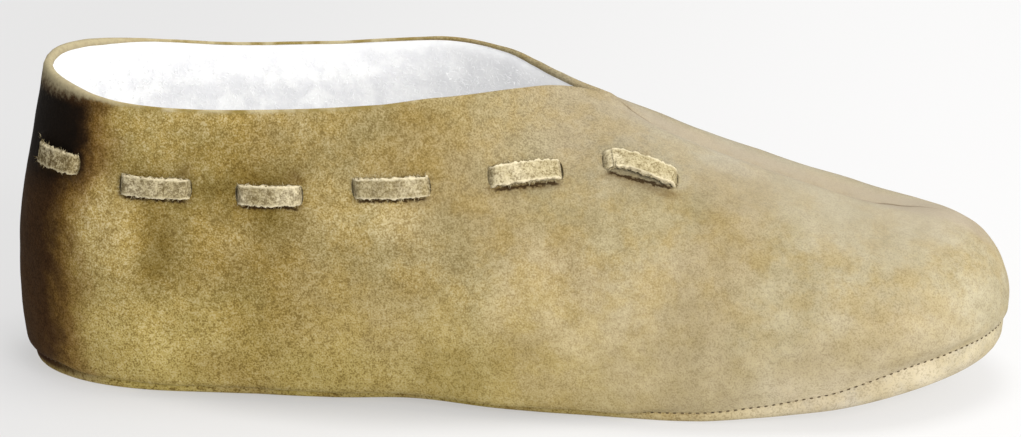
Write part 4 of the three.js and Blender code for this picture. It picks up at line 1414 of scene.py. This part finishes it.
def point_value(tree, name, kind):
    """A value that every point of the given mesh carries under this name."""
    node = add_node(tree, "GeometryNodeInputNamedAttribute", data_type=kind)
    node.inputs["Name"].default_value = name
    return node.outputs["Attribute"]


def build_scatter_tree(name):
    """Stands a shape on every point, turned by the point's own turn and sized by its own size."""
    inputs = [("Shape", "NodeSocketObject", None), ("Material", "NodeSocketMaterial", None)]
    tree, given, made = new_tree(name, inputs)
    shape = add_node(tree, "GeometryNodeObjectInfo")
    feed(tree, shape.inputs["Object"], given["Shape"])
    rotation = add_node(tree, "FunctionNodeEulerToRotation")
    feed(tree, rotation.inputs[0], point_value(tree, "turn", "FLOAT_VECTOR"))
    stand = add_node(tree, "GeometryNodeInstanceOnPoints")
    feed(tree, stand.inputs["Points"], given["Geometry"])
    feed(tree, stand.inputs["Instance"], shape.outputs["Geometry"])
    feed(tree, stand.inputs["Rotation"], rotation.outputs[0])
    feed(tree, stand.inputs["Scale"], point_value(tree, "size", "FLOAT"))
    realize_and_dress(tree, given, made, stand)
    return tree


def throw_away(*objects):
    for obj in objects:
        bpy.data.objects.remove(obj)


scatter_tree = build_scatter_tree("stand_on_points")
punch = oval_punch("slot_punch", SLOT_LENGTH, SLOT_WIDTH, PUNCH_DEPTH)
is_heel_end = (np.arange(len(SLOT_STATIONS)) % 2 == 0) != (SLOT_STATIONS < 0)
heelwards = slot_along * np.where(SLOT_STATIONS < 0, 1, -1)[:, None]
slot_places = slot_middle - heelwards * np.where(is_heel_end, HEELWARD_SHIFT, -TOEWARD_SHIFT)[:, None]
slot_turns = frame_turns(slot_along, -slot_across, slot_out)
slot_points = points_with_turns("slot_points", slot_places, slot_turns, size=np.ones(len(slot_places)))
punches = run_tree(slot_points, scatter_tree, "slot_punches", shape=punch, material=suede_raw)

# %% Cut the slots
cut = upper.modifiers.new("slots", "BOOLEAN")
cut.operation = "DIFFERENCE"
cut.solver = "MANIFOLD"
cut.object = punches
cut_mesh = evaluated_mesh(upper)
upper.modifiers.remove(cut)
upper.data = cut_mesh
upper.data.set_sharp_from_angle(angle=math.radians(42))
throw_away(punch, slot_points, punches)
print("upper with slots:", triangles(upper), "triangles,", open_edges(upper), "open edges")

# %% [markdown]
# The sole
#
# A soft sole is one piece of suede with its edge turned up round the foot and sewn to the upper. Its rim
# follows the upper's lower edge a thread's width away, rolls under, and closes below with a nearly flat
# tread. It is built from rings, so the roll and the tread share their points.

# %% The sole from rings
lower_edge = skin[ids[:, 0]]
inner_edge = lower_edge - skin_out[ids[:, 0]] * UPPER_WALL
edge_way = unit(lower_edge - skin[ids[:, 1]])
sole_rim = lower_edge + edge_way * SOLE_GAP
sole_rim_inner = inner_edge + edge_way * SOLE_GAP


def ring_normals(ring):
    step = np.roll(ring, -1, 0) - np.roll(ring, 1, 0)
    out = np.stack([step[:, 1], -step[:, 0], np.zeros(len(ring))], 1)
    return unit(out)


def inset_ring(ring, inset, height):
    moved = ring - ring_normals(ring) * inset
    moved[:, 2] = height(moved[:, 0])
    return moved


def join_rings(chain):
    """Points of rings that follow each other, and the faces between them."""
    faces = []
    for k in range(len(chain) - 1):
        low = np.arange(COLUMNS) + k * COLUMNS
        faces += [tuple(f) for f in strip_between(low, low + COLUMNS)]
    return np.concatenate(chain), faces


def across_ring(points, faces, ring, ring_ids, lifts, flip):
    """Closes a ring with rows of points from its inner to its outer side."""
    rows = len(lifts)
    first = len(points)
    inner = ring[1:LAST]
    outer = ring[MIRROR[1:LAST]]
    middle = []
    for k, lift in enumerate(lifts):
        u = (k + 1) / (rows + 1)
        row = inner * (1 - u) + outer * u
        row[:, 2] += lift
        middle.append(row)
    lines = np.stack(middle, 1)
    body = np.arange(first, first + lines.shape[0] * rows).reshape(-1, rows)
    full = np.concatenate([ring_ids[1:LAST, None], body, ring_ids[MIRROR[1:LAST]][:, None]], 1)
    quads_made = np.stack([full[:-1, :-1], full[1:, :-1], full[1:, 1:], full[:-1, 1:]], -1).reshape(-1, 4)
    ends = []
    for tip, row in ((ring_ids[0], full[0]), (ring_ids[LAST], full[-1][::-1])):
        ends += [(tip, a, b, b) for a, b in zip(row[:-1], row[1:])]
    made = [tuple(q) for q in quads_made] + [tuple(dict.fromkeys(e)) for e in ends]
    faces += [f[::-1] for f in made] if flip else made
    return np.concatenate([points, lines.reshape(-1, 3)])


# The side rolls under in these turns, and bulges out by so much at each of them
SOLE_TURNS = np.radians([0, 12, 24, 36, 48, 60, 70, 80, 90])
SOLE_BULGE = [0, 0.18, 0.3, 0.34, 0.3, 0.2, 0.1, 0.03, 0]
SOLE_FLOOR_INSET = 0.8
SOLE_LINES_ACROSS = 9


def build_sole():
    """Rings from the tread up the rolled side, over the rim and down to the inner floor."""
    rings = []
    fuller = 1 + 0.9 * smooth_step(0.6, 0.72, COLUMN_T)
    under_toe = 2.6 * smooth_step(0.8, 1.0, COLUMN_T)
    for turn, out in zip(SOLE_TURNS, SOLE_BULGE):
        inset = (SOLE_EDGE_INSET + under_toe) * (1 - math.cos(turn)) - out * fuller
        ring = inset_ring(sole_rim, inset[:, None], lambda x: x * 0)
        under = underside_at(ring[:, 0])
        ring[:, 2] = under + (sole_rim[:, 2] - under) * (1 - math.sin(turn))
        rings.append(ring)
    rings[0] = sole_rim
    floor_ring = inset_ring(sole_rim_inner, SOLE_FLOOR_INSET, lambda x: underside_at(x) + SOLE_THICKNESS)
    chain = rings[::-1] + [sole_rim_inner, floor_ring]
    points, faces = join_rings(chain)
    level = [0.0] * SOLE_LINES_ACROSS
    points = across_ring(points, faces, chain[0], np.arange(COLUMNS), level, True)
    last_ids = np.arange(COLUMNS) + (len(chain) - 1) * COLUMNS
    points = across_ring(points, faces, chain[-1], last_ids, level, False)
    return points, faces, floor_ring


sole_points, sole_faces, floor_ring = build_sole()
sole = make_mesh("sole_suede", sole_points, sole_faces, suede_sole)
tidy_mesh(sole)
sole.data.set_sharp_from_angle(angle=math.radians(50))
print("sole:", triangles(sole), "triangles,", open_edges(sole), "open edges")

# %% [markdown]
# Stitches along the seam
#
# The sole is sewn on from inside and turned, so only the dark thread shows, as a short dash every two
# millimetres in the groove. A Geometry Nodes tree lays one stitch shape at an even pitch along the seam's
# curve, with the pitch, length and thickness as its inputs.

# %% Stitches in the groove
STITCH_PITCH = 2.0
STITCH_LENGTH = 0.95
STITCH_THICKNESS = 0.36
STITCH_STANDS_OUT = 0.12


def build_stitch_tree():
    tree, given, made = new_tree("stitches_along_a_seam", [
        ("Pitch", "NodeSocketFloat", STITCH_PITCH * MM),
        ("Stitch length", "NodeSocketFloat", STITCH_LENGTH * MM),
        ("Thickness", "NodeSocketFloat", STITCH_THICKNESS * MM),
        ("Material", "NodeSocketMaterial", None),
    ])
    to_curve = add_node(tree, "GeometryNodeMeshToCurve")
    feed(tree, to_curve.inputs[0], given["Geometry"])
    even = add_node(tree, "GeometryNodeResampleCurve")
    even.mode = "LENGTH"
    feed(tree, even.inputs["Curve"], to_curve.outputs[0])
    feed(tree, even.inputs["Length"], given["Pitch"])
    bead = add_node(tree, "GeometryNodeMeshIcoSphere")
    bead.inputs["Radius"].default_value = 1.0
    bead.inputs["Subdivisions"].default_value = 2
    size = add_node(tree, "ShaderNodeCombineXYZ")
    half = times(tree, given["Thickness"], 0.5)
    feed(tree, size.inputs[0], half)
    feed(tree, size.inputs[1], half)
    feed(tree, size.inputs[2], times(tree, given["Stitch length"], 0.5))
    tangent = add_node(tree, "GeometryNodeInputTangent")
    turn = add_node(tree, "FunctionNodeAlignRotationToVector")
    turn.axis = "Z"
    feed(tree, turn.inputs["Vector"], tangent.outputs[0])
    lay = add_node(tree, "GeometryNodeInstanceOnPoints")
    feed(tree, lay.inputs["Points"], even.outputs[0])
    feed(tree, lay.inputs["Instance"], bead.outputs["Mesh"])
    feed(tree, lay.inputs["Rotation"], turn.outputs[0])
    feed(tree, lay.inputs["Scale"], size.outputs[0])
    realize_and_dress(tree, given, made, lay)
    return tree


def closed_line(name, points):
    mesh = bpy.data.meshes.new(name)
    count = len(points)
    edges = [(k, (k + 1) % count) for k in range(count)]
    mesh.from_pydata(((points + SHIFT) * MM).tolist(), edges, [])
    return new_object(name, mesh)


stitch_tree = build_stitch_tree()
groove = (lower_edge + sole_rim) / 2 + skin_out[ids[:, 0]] * STITCH_STANDS_OUT
groove_line = closed_line("groove_line", groove)
stitches = run_tree(groove_line, stitch_tree, "seam_stitches", material=seam_thread)
throw_away(groove_line)
stitches.data.shade_smooth()
print("stitches:", triangles(stitches), "triangles")

# %% [markdown]
# The lace
#
# The thong is swept along its frames. Between two slots it lies on the suede or behind it, and in a slot it
# dives through. A cut thong has uneven sides with a fluffy raised edge, so every point of its section is
# moved by a little noise, more at the sides than in the middle.

# %% Stations and depth of the lace
LACE_STEP = 0.4
LACE_DIVE = 2.5
LACE_BOW = 0.7
FAR_BAR_BOW = 0.2
SIDE_FRAY = 0.55
EDGE_CURL = 0.26
FACE_RIPPLE = 0.12


def lace_runs():
    """Even steps along the lace, as stations with the length run up to each."""
    reach = LACE_BARS[-1][1] + LACE_TAIL / SHOE_LENGTH
    coarse = np.linspace(-reach, reach, 900)
    line = on_upper(*on_lace(coarse))
    run = np.concatenate([[0], np.cumsum(np.linalg.norm(np.diff(line, axis=0), axis=1))])
    even = np.arange(0, run[-1], LACE_STEP)
    return np.interp(even, run, coarse), even, np.interp(SLOT_STATIONS, coarse, run)


def lace_depth(run, slots):
    """How far through the wall the lace lies, from 0 inside to 1 outside, and how far its bars bow out."""
    outside = np.zeros_like(run)
    bow = np.zeros_like(run)
    for k, slot in enumerate(slots):
        passed = smooth_step(-LACE_DIVE / 2, LACE_DIVE / 2, run - slot)
        outside += passed if k % 2 == 0 else -passed
        if k % 2 == 0:
            along = np.clip((run - slot) / (slots[k + 1] - slot), 0, 1)
            rise = FAR_BAR_BOW if k == len(slots) - 2 else LACE_BOW
            bow += rise * np.sin(np.pi * along) ** 2
    return outside, bow


stations, lace_run, slot_runs = lace_runs()
lace_middle, lace_out, lace_along, lace_across = lace_frames(stations)
outside, bow = lace_depth(lace_run, slot_runs)
print("lace length", round(float(lace_run[-1])), "mm")

# %% Sweep the lace's section
SECTION_POINTS = 20


def lace_section():
    """Rounded rectangle: across and out, as shares of the half width and the half thickness."""
    turn = np.linspace(0, 2 * np.pi, SECTION_POINTS, endpoint=False) + np.pi / SECTION_POINTS
    bend = 2 / 5
    across = np.sign(np.cos(turn)) * np.abs(np.cos(turn)) ** bend
    out = np.sign(np.sin(turn)) * np.abs(np.sin(turn)) ** bend
    return across, out


def build_lace():
    across, out = lace_section()
    inner_face = -(UPPER_WALL + LACE_CLEARANCE + LACE_THICKNESS / 2)
    outer_face = LACE_CLEARANCE + LACE_THICKNESS / 2
    height = inner_face + (outer_face - inner_face) * outside + bow
    path = lace_middle + lace_out * height[:, None]
    tangent = unit(np.gradient(path, axis=0))
    normal = unit(np.cross(tangent, lace_across))
    normal *= np.sign((normal * lace_out).sum(1))[:, None]
    nearest = np.abs(lace_run[:, None] - slot_runs[None, :]).min(axis=1)
    half = LACE_WIDTH / 2 * (0.96 + 0.04 * smooth_step(0, 4, nearest))
    thick = LACE_THICKNESS / 2 * (0.66 + 0.34 * smooth_step(0, 2.5, nearest))
    points = (path[:, None, :]
              + lace_across[:, None, :] * (across[None, :, None] * half[:, None, None])
              + normal[:, None, :] * (out[None, :, None] * thick[:, None, None]))
    flat = points.reshape(-1, 3)
    at_side = np.tile(np.abs(across) ** 6, len(path))
    fray = ripple(flat, 1.0, 5, 3)
    body = ripple(flat, 3.0, 6, 2)
    sideways = np.repeat(lace_across, SECTION_POINTS, 0) * np.sign(np.tile(across, len(path)))[:, None]
    outwards = np.repeat(normal, SECTION_POINTS, 0) * np.sign(np.tile(out, len(path)))[:, None]
    flat = flat + sideways * (SIDE_FRAY * fray * at_side)[:, None]
    flat = flat + outwards * (EDGE_CURL * at_side * (0.7 + fray) + FACE_RIPPLE * body)[:, None]
    return flat, path, normal, half, at_side


lace_points, lace_path, lace_normal, lace_half, lace_side = build_lace()
lace_ids = np.arange(len(lace_points)).reshape(-1, SECTION_POINTS)
around = np.roll(lace_ids, -1, axis=1)
lace_quads = np.stack([lace_ids[:-1], lace_ids[1:], around[1:], around[:-1]], -1).reshape(-1, 4)
lace_faces = [tuple(q) for q in lace_quads] + [tuple(lace_ids[0]), tuple(lace_ids[-1][::-1])]
lace = make_mesh("suede_thong", lace_points, lace_faces, suede_lace)
add_values(lace, "cut_side", lace_side)
tidy_mesh(lace)
print("lace:", triangles(lace), "triangles,", open_edges(lace), "open edges")

# %% [markdown]
# Frayed fibres
#
# The thong's cut edges shed short fibres, the first bar at the heel ends in two long wisps, and every
# punched slot has a little fuzz round it. Each fibre is a thin bent spike. The tree that stood the punches
# on the slots stands the fibres too, each turned and sized by values on its own point.

# %% A bent spike for fibres and wool locks
SPIKE_SIDES = 3


def bent_spike(name, radius, length, bend, segments=3):
    """A tapered spike along Z that leans towards X, with its tip closed."""
    points = []
    faces = []
    for k in range(segments):
        u = k / segments
        r = radius * (1 - u) ** 0.7
        for m in range(SPIKE_SIDES):
            turn = 2 * math.pi * m / SPIKE_SIDES
            points.append((r * math.cos(turn) + bend * u * u, r * math.sin(turn), length * u))
    points.append((bend, 0, length))
    tip = len(points) - 1
    for k in range(segments - 1):
        for m in range(SPIKE_SIDES):
            a = k * SPIKE_SIDES + m
            b = k * SPIKE_SIDES + (m + 1) % SPIKE_SIDES
            faces.append((a, b, b + SPIKE_SIDES, a + SPIKE_SIDES))
    low = (segments - 1) * SPIKE_SIDES
    for m in range(SPIKE_SIDES):
        faces.append((low + m, low + (m + 1) % SPIKE_SIDES, tip))
    faces.append(tuple(range(SPIKE_SIDES))[::-1])
    mesh = bpy.data.meshes.new(name)
    mesh.from_pydata((np.array(points) * MM).tolist(), [], faces)
    mesh.shade_smooth()
    return new_object(name, mesh)


# %% Fibres on the lace's edges
FIBRE_SEED = 11
FIBRES_PER_MM = 3.6
WISP_FIBRES = 16
FUZZ_PER_SLOT = 34


def build_fray():
    """Places, directions and sizes of the fibres along both cut edges, and of the wisps at the heel."""
    random = np.random.default_rng(FIBRE_SEED)
    showing = np.flatnonzero(outside > 0.75)
    count = int(len(showing) * LACE_STEP * FIBRES_PER_MM * 2)
    pick = random.choice(showing, count)
    edge = random.choice([-1.0, 1.0], count)
    up = random.uniform(-0.5, 0.5, count) * LACE_THICKNESS
    place = lace_path[pick] + lace_across[pick] * (edge * lace_half[pick] * 0.97)[:, None]
    place = place + lace_normal[pick] * up[:, None]
    way = lace_across[pick] * edge[:, None]
    way = way + lace_normal[pick] * random.normal(0.1, 0.45, count)[:, None]
    way = unit(way + lace_along[pick] * random.normal(0, 0.6, count)[:, None])
    size = random.gamma(3.0, 0.28, count).clip(0.35, 2.2)
    heel_end = int(np.argmin(np.abs(stations + LACE_BARS[0][0])))
    edge = np.repeat([1.0, -1.0], WISP_FIBRES)
    tuft = lace_path[heel_end] + lace_across[heel_end] * (edge * lace_half[heel_end] * 0.8)[:, None]
    tuft = tuft + lace_normal[heel_end] * 0.5 + random.normal(0, 0.22, (2 * WISP_FIBRES, 3))
    lean = lace_along[heel_end] * 0.9 + lace_across[heel_end] * (0.75 * edge)[:, None]
    lean = unit(lean + lace_normal[heel_end] * 0.5 + random.normal(0, 0.16, (2 * WISP_FIBRES, 3)))
    long = random.uniform(2.4, 4.6, 2 * WISP_FIBRES)
    return np.concatenate([place, tuft]), np.concatenate([way, lean]), np.concatenate([size, long]), random


def build_slot_fuzz():
    """Short fibres that stand all round the rim of every slot."""
    random = np.random.default_rng(FIBRE_SEED + 1)
    slot = np.repeat(np.arange(len(slot_places)), FUZZ_PER_SLOT)
    turn = random.uniform(0, 2 * math.pi, len(slot))
    away = slot_along[slot] * (SLOT_LENGTH / 2 * np.cos(turn))[:, None]
    away = away + slot_across[slot] * (SLOT_WIDTH / 2 * np.sin(turn))[:, None]
    place = slot_places[slot] + away + slot_out[slot] * random.uniform(-0.1, 0.45, len(slot))[:, None]
    way = unit(unit(away) * random.normal(0.2, 0.5, len(slot))[:, None] + slot_out[slot])
    way = unit(way + random.normal(0, 0.35, (len(slot), 3)))
    return place, way, random.gamma(3.0, 0.26, len(slot)).clip(0.3, 1.8), random


def spike_turns(ways, random):
    """Turns that point a spike's Z along each way, rolled at random."""
    turns = []
    for way, roll in zip(ways, random.uniform(0, 2 * math.pi, len(ways))):
        turn = Vector(way).to_track_quat("Z", "Y").to_matrix() @ Matrix.Rotation(roll, 3, "Z")
        turns.append(turn.to_euler())
    return turns


def stand_spikes(name, shape, material, place, way, size, random):
    """One mesh of spikes that stand at these places."""
    points = points_with_turns(name + "_points", place, spike_turns(way, random), size=size)
    spikes = run_tree(points, scatter_tree, name, shape=shape, material=material)
    throw_away(points)
    print(name + ":", len(place), "spikes with", triangles(spikes), "triangles")
    return spikes


fibre = bent_spike("fibre_shape", 0.09, 0.7, 0.25)
fray = stand_spikes("lace_fray", fibre, suede_lace, *build_fray())
fuzz = stand_spikes("slot_fuzz", fibre, suede_raw, *build_slot_fuzz())
throw_away(fibre)

# %% [markdown]
# The fleece lining
#
# The lining is a thick white pile that starts at the collar's edge and fills the slipper. Its back keeps
# clear of the thong, and its face is lumpy. It is a closed shell read from the same ribs as the upper, only
# deeper. Its back is suede, which shows in the slots, and small wool locks are spread over what can be seen
# of its face.

# %% Lining shell
PILE_BACK = 4.3
PILE_FACE = 7.6
PILE_ROUND = 4.2
LUMP_HEIGHT = 0.9
LINING_DROP = 0.25
LINING_GAP = 0.15
LINING_ROWS = 46
MIDDLE_ROOM = 0.06
FLOOR_CLEARANCE = SOLE_THICKNESS + INSOLE_GAP + INSOLE_THICKNESS + 0.8


def lining_rows():
    """For every column the rows of the lining, from just over the insole to just under the rim."""
    probe = np.linspace(0, 2, 161)
    columns = on_upper(COLUMN_SIDE[:, None], COLUMN_T[:, None], probe[None, :], 0.0)
    lengths = np.linalg.norm(np.diff(columns, axis=1), axis=2)
    below_top = np.concatenate([np.cumsum(lengths[:, ::-1], axis=1)[:, ::-1], np.zeros((COLUMNS, 1))], 1)
    floor = underside_at(columns[..., 0]) + FLOOR_CLEARANCE
    rows = np.zeros((COLUMNS, LINING_ROWS))
    drop = np.zeros((COLUMNS, LINING_ROWS))
    for c in range(COLUMNS):
        start = np.interp(0, (columns[c, :, 2] - floor[c])[:80], probe[:80])
        end = 2.0 if ON_CREST[c] else np.interp(-LINING_DROP, -below_top[c], probe)
        u = np.linspace(0, 1, LINING_ROWS)
        rows[c] = start + (end - start) * (1 - (1 - u) ** 1.5)
        drop[c] = np.interp(rows[c], probe, below_top[c])
    return rows, drop


def build_lining():
    """A closed shell of a back and a lumpy face, with what the wool locks need to stand on it."""
    rows, drop = lining_rows()
    side = np.repeat(COLUMN_SIDE, LINING_ROWS)
    t = np.repeat(COLUMN_T, LINING_ROWS)
    base = on_upper(side, t, rows.ravel(), 0.0)
    lining_ids = grid_ids(LINING_ROWS)
    lining_quads = grid_quads(lining_ids)
    out = vertex_normals(base, lining_quads)
    if (out * (base - MIDDLE_OF_SHOE)).sum() < 0:
        out = -out
    crest = front_seam_pull(top_share_at(t)) * FRONT_SEAM_DEPTH
    away = np.where(np.repeat(ON_CREST, LINING_ROWS), 99.0, drop.ravel() - LINING_DROP)
    back_depth = RIM_WALL + LINING_GAP + (PILE_BACK - RIM_WALL) * smooth_step(0, 9, away) + crest
    lumps = ripple(base, 12, 21, 2) + 0.45 * ripple(base, 3.6, 22, 1)
    face_depth = PILE_FACE + LUMP_HEIGHT * lumps
    round_over = np.sqrt(1 - (1 - np.clip(away / PILE_ROUND, 0, 1)) ** 2)
    face_depth = back_depth + (face_depth - PILE_BACK) * (0.12 + 0.88 * round_over)
    back_skin = base - out * back_depth[:, None]
    face_skin = base - out * face_depth[:, None]
    for shell in (back_skin, face_skin):
        shell[:, 1] = side * np.maximum(side * shell[:, 1], MIDDLE_ROOM)
        shell[lining_ids[[0, LAST]].ravel(), 1] = 0
        shell[lining_ids[ON_CREST, -1], 1] = 0
    face_ids = lining_ids + len(base)
    faces = [lining_quads, grid_quads(face_ids, True)]
    faces.append(strip_between(lining_ids[:, -1], face_ids[:, -1])[BESIDE_OPENING])
    faces.append(strip_between(lining_ids[:, 0], face_ids[:, 0]))
    return np.concatenate([back_skin, face_skin]), np.concatenate(faces), face_skin, out, drop.ravel(), t


lining_points, lining_faces, pile, pile_out, pile_drop, pile_t = build_lining()
back_faces = range(COLUMNS * (LINING_ROWS - 1))
lining = make_mesh("fleece_lining", lining_points, lining_faces, fleece_white, suede_raw, second=back_faces)
tidy_mesh(lining, merge=2e-6)
print("lining:", triangles(lining), "triangles,", open_edges(lining), "open edges")

# %% [markdown]
# The insole
#
# Under the foot lies a padded sock with the same fleece on top. It is a cushion, crowned a little in the
# middle and pressed at the rim by the lining.

# %% The insole's pad
INSOLE_INSET = 0.8
# Rings of the rim: how far in from the side, and how far below the top
INSOLE_RIM = ((0.0, 1.4), (0.4, 0.5), (1.4, 0.0))
INSOLE_LINES_ACROSS = 31
INSOLE_CROWN = 0.5
INSOLE_LUMPS = 0.35


def build_insole():
    """A flat underside, a side, a rounded rim and a crowned, slightly lumpy top."""
    seat = SOLE_THICKNESS + INSOLE_GAP
    bottom = inset_ring(floor_ring, INSOLE_INSET, lambda x: underside_at(x) + seat)
    chain = [bottom]
    for inset, below_top in INSOLE_RIM:
        height = seat + INSOLE_THICKNESS - below_top
        chain.append(inset_ring(bottom, inset, lambda x: underside_at(x) + height))
    points, faces = join_rings(chain)
    across = np.arange(1, INSOLE_LINES_ACROSS + 1) / (INSOLE_LINES_ACROSS + 1)
    crown = INSOLE_CROWN * np.sin(np.pi * across)
    points = across_ring(points, faces, chain[0], np.arange(COLUMNS), [0.0] * 5, True)
    before = len(points)
    top_ids = np.arange(COLUMNS) + len(INSOLE_RIM) * COLUMNS
    points = across_ring(points, faces, chain[-1], top_ids, crown, False)
    points[before:, 2] += INSOLE_LUMPS * ripple(points[before:], 6, 31, 2)
    return points, faces


insole_points, insole_faces = build_insole()
insole = make_mesh("insole_sock", insole_points, insole_faces, fleece_white)
tidy_mesh(insole)
print("insole:", triangles(insole), "triangles,", open_edges(insole), "open edges")

# %% [markdown]
# Wool locks
#
# Sheared fleece is a carpet of short curled locks, and each of them is a
# short bent spike of ten triangles. They are spread at random over the lining, thickest near the collar
# where they are seen, and lean every way, a little inwards and up. A fixed seed keeps them the same.

# %% Locks on the pile
LOCK_SEED = 23
LOCK_COUNT = 18000
LOCKS_END_AT = 0.66
LOCKS_BELOW_RIM = 1.6
LOCKS_REACH_DOWN = 42


def build_locks():
    random = np.random.default_rng(LOCK_SEED)
    seen = (pile_t < LOCKS_END_AT) & (pile_drop > LOCKS_BELOW_RIM)
    weight = seen * np.exp(-((pile_drop / LOCKS_REACH_DOWN) ** 2)) + 1e-9
    column_step = np.gradient(SIDE_T)
    weight *= np.repeat(np.concatenate([column_step, column_step[LAST - 1:0:-1]]), LINING_ROWS)
    pick = random.choice(len(pile), LOCK_COUNT, p=weight / weight.sum())
    place = pile[pick] + random.normal(0, 0.4, (LOCK_COUNT, 3)) + pile_out[pick] * 0.15
    way = -0.35 * pile_out[pick] + np.array([0, 0, 0.35]) + random.normal(0, 0.5, (LOCK_COUNT, 3))
    size = random.uniform(0.65, 1.25, LOCK_COUNT) * (0.55 + 0.45 * smooth_step(1.5, 7, pile_drop[pick]))
    return place, unit(way), size, random


lock = bent_spike("lock_shape", 0.12, 1.5, 0.9, segments=2)
locks = stand_spikes("fleece_locks", lock, fleece_white, *build_locks())
throw_away(lock)

# %% [markdown]
# Pieces on the body
#
# Every piece rides on the slipper's one body, and the four that replace a solid of the model hide it.

# %% Ride and replace
for piece, node, finish in (
    (upper, "upper", "upper_suede"),
    (sole, "sole", "sole_suede"),
    (lace, "lace", "lace_suede"),
    (insole, "insole", "fleece"),
):
    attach(piece, "root")
    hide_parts(node)
loose_pieces = (
    (stitches, "sole_suede"),
    (fray, "lace_suede"),
    (fuzz, "upper_suede"),
    (lining, "fleece"),
    (locks, "fleece"),
)
for piece, finish in loose_pieces:
    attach(piece, "root")
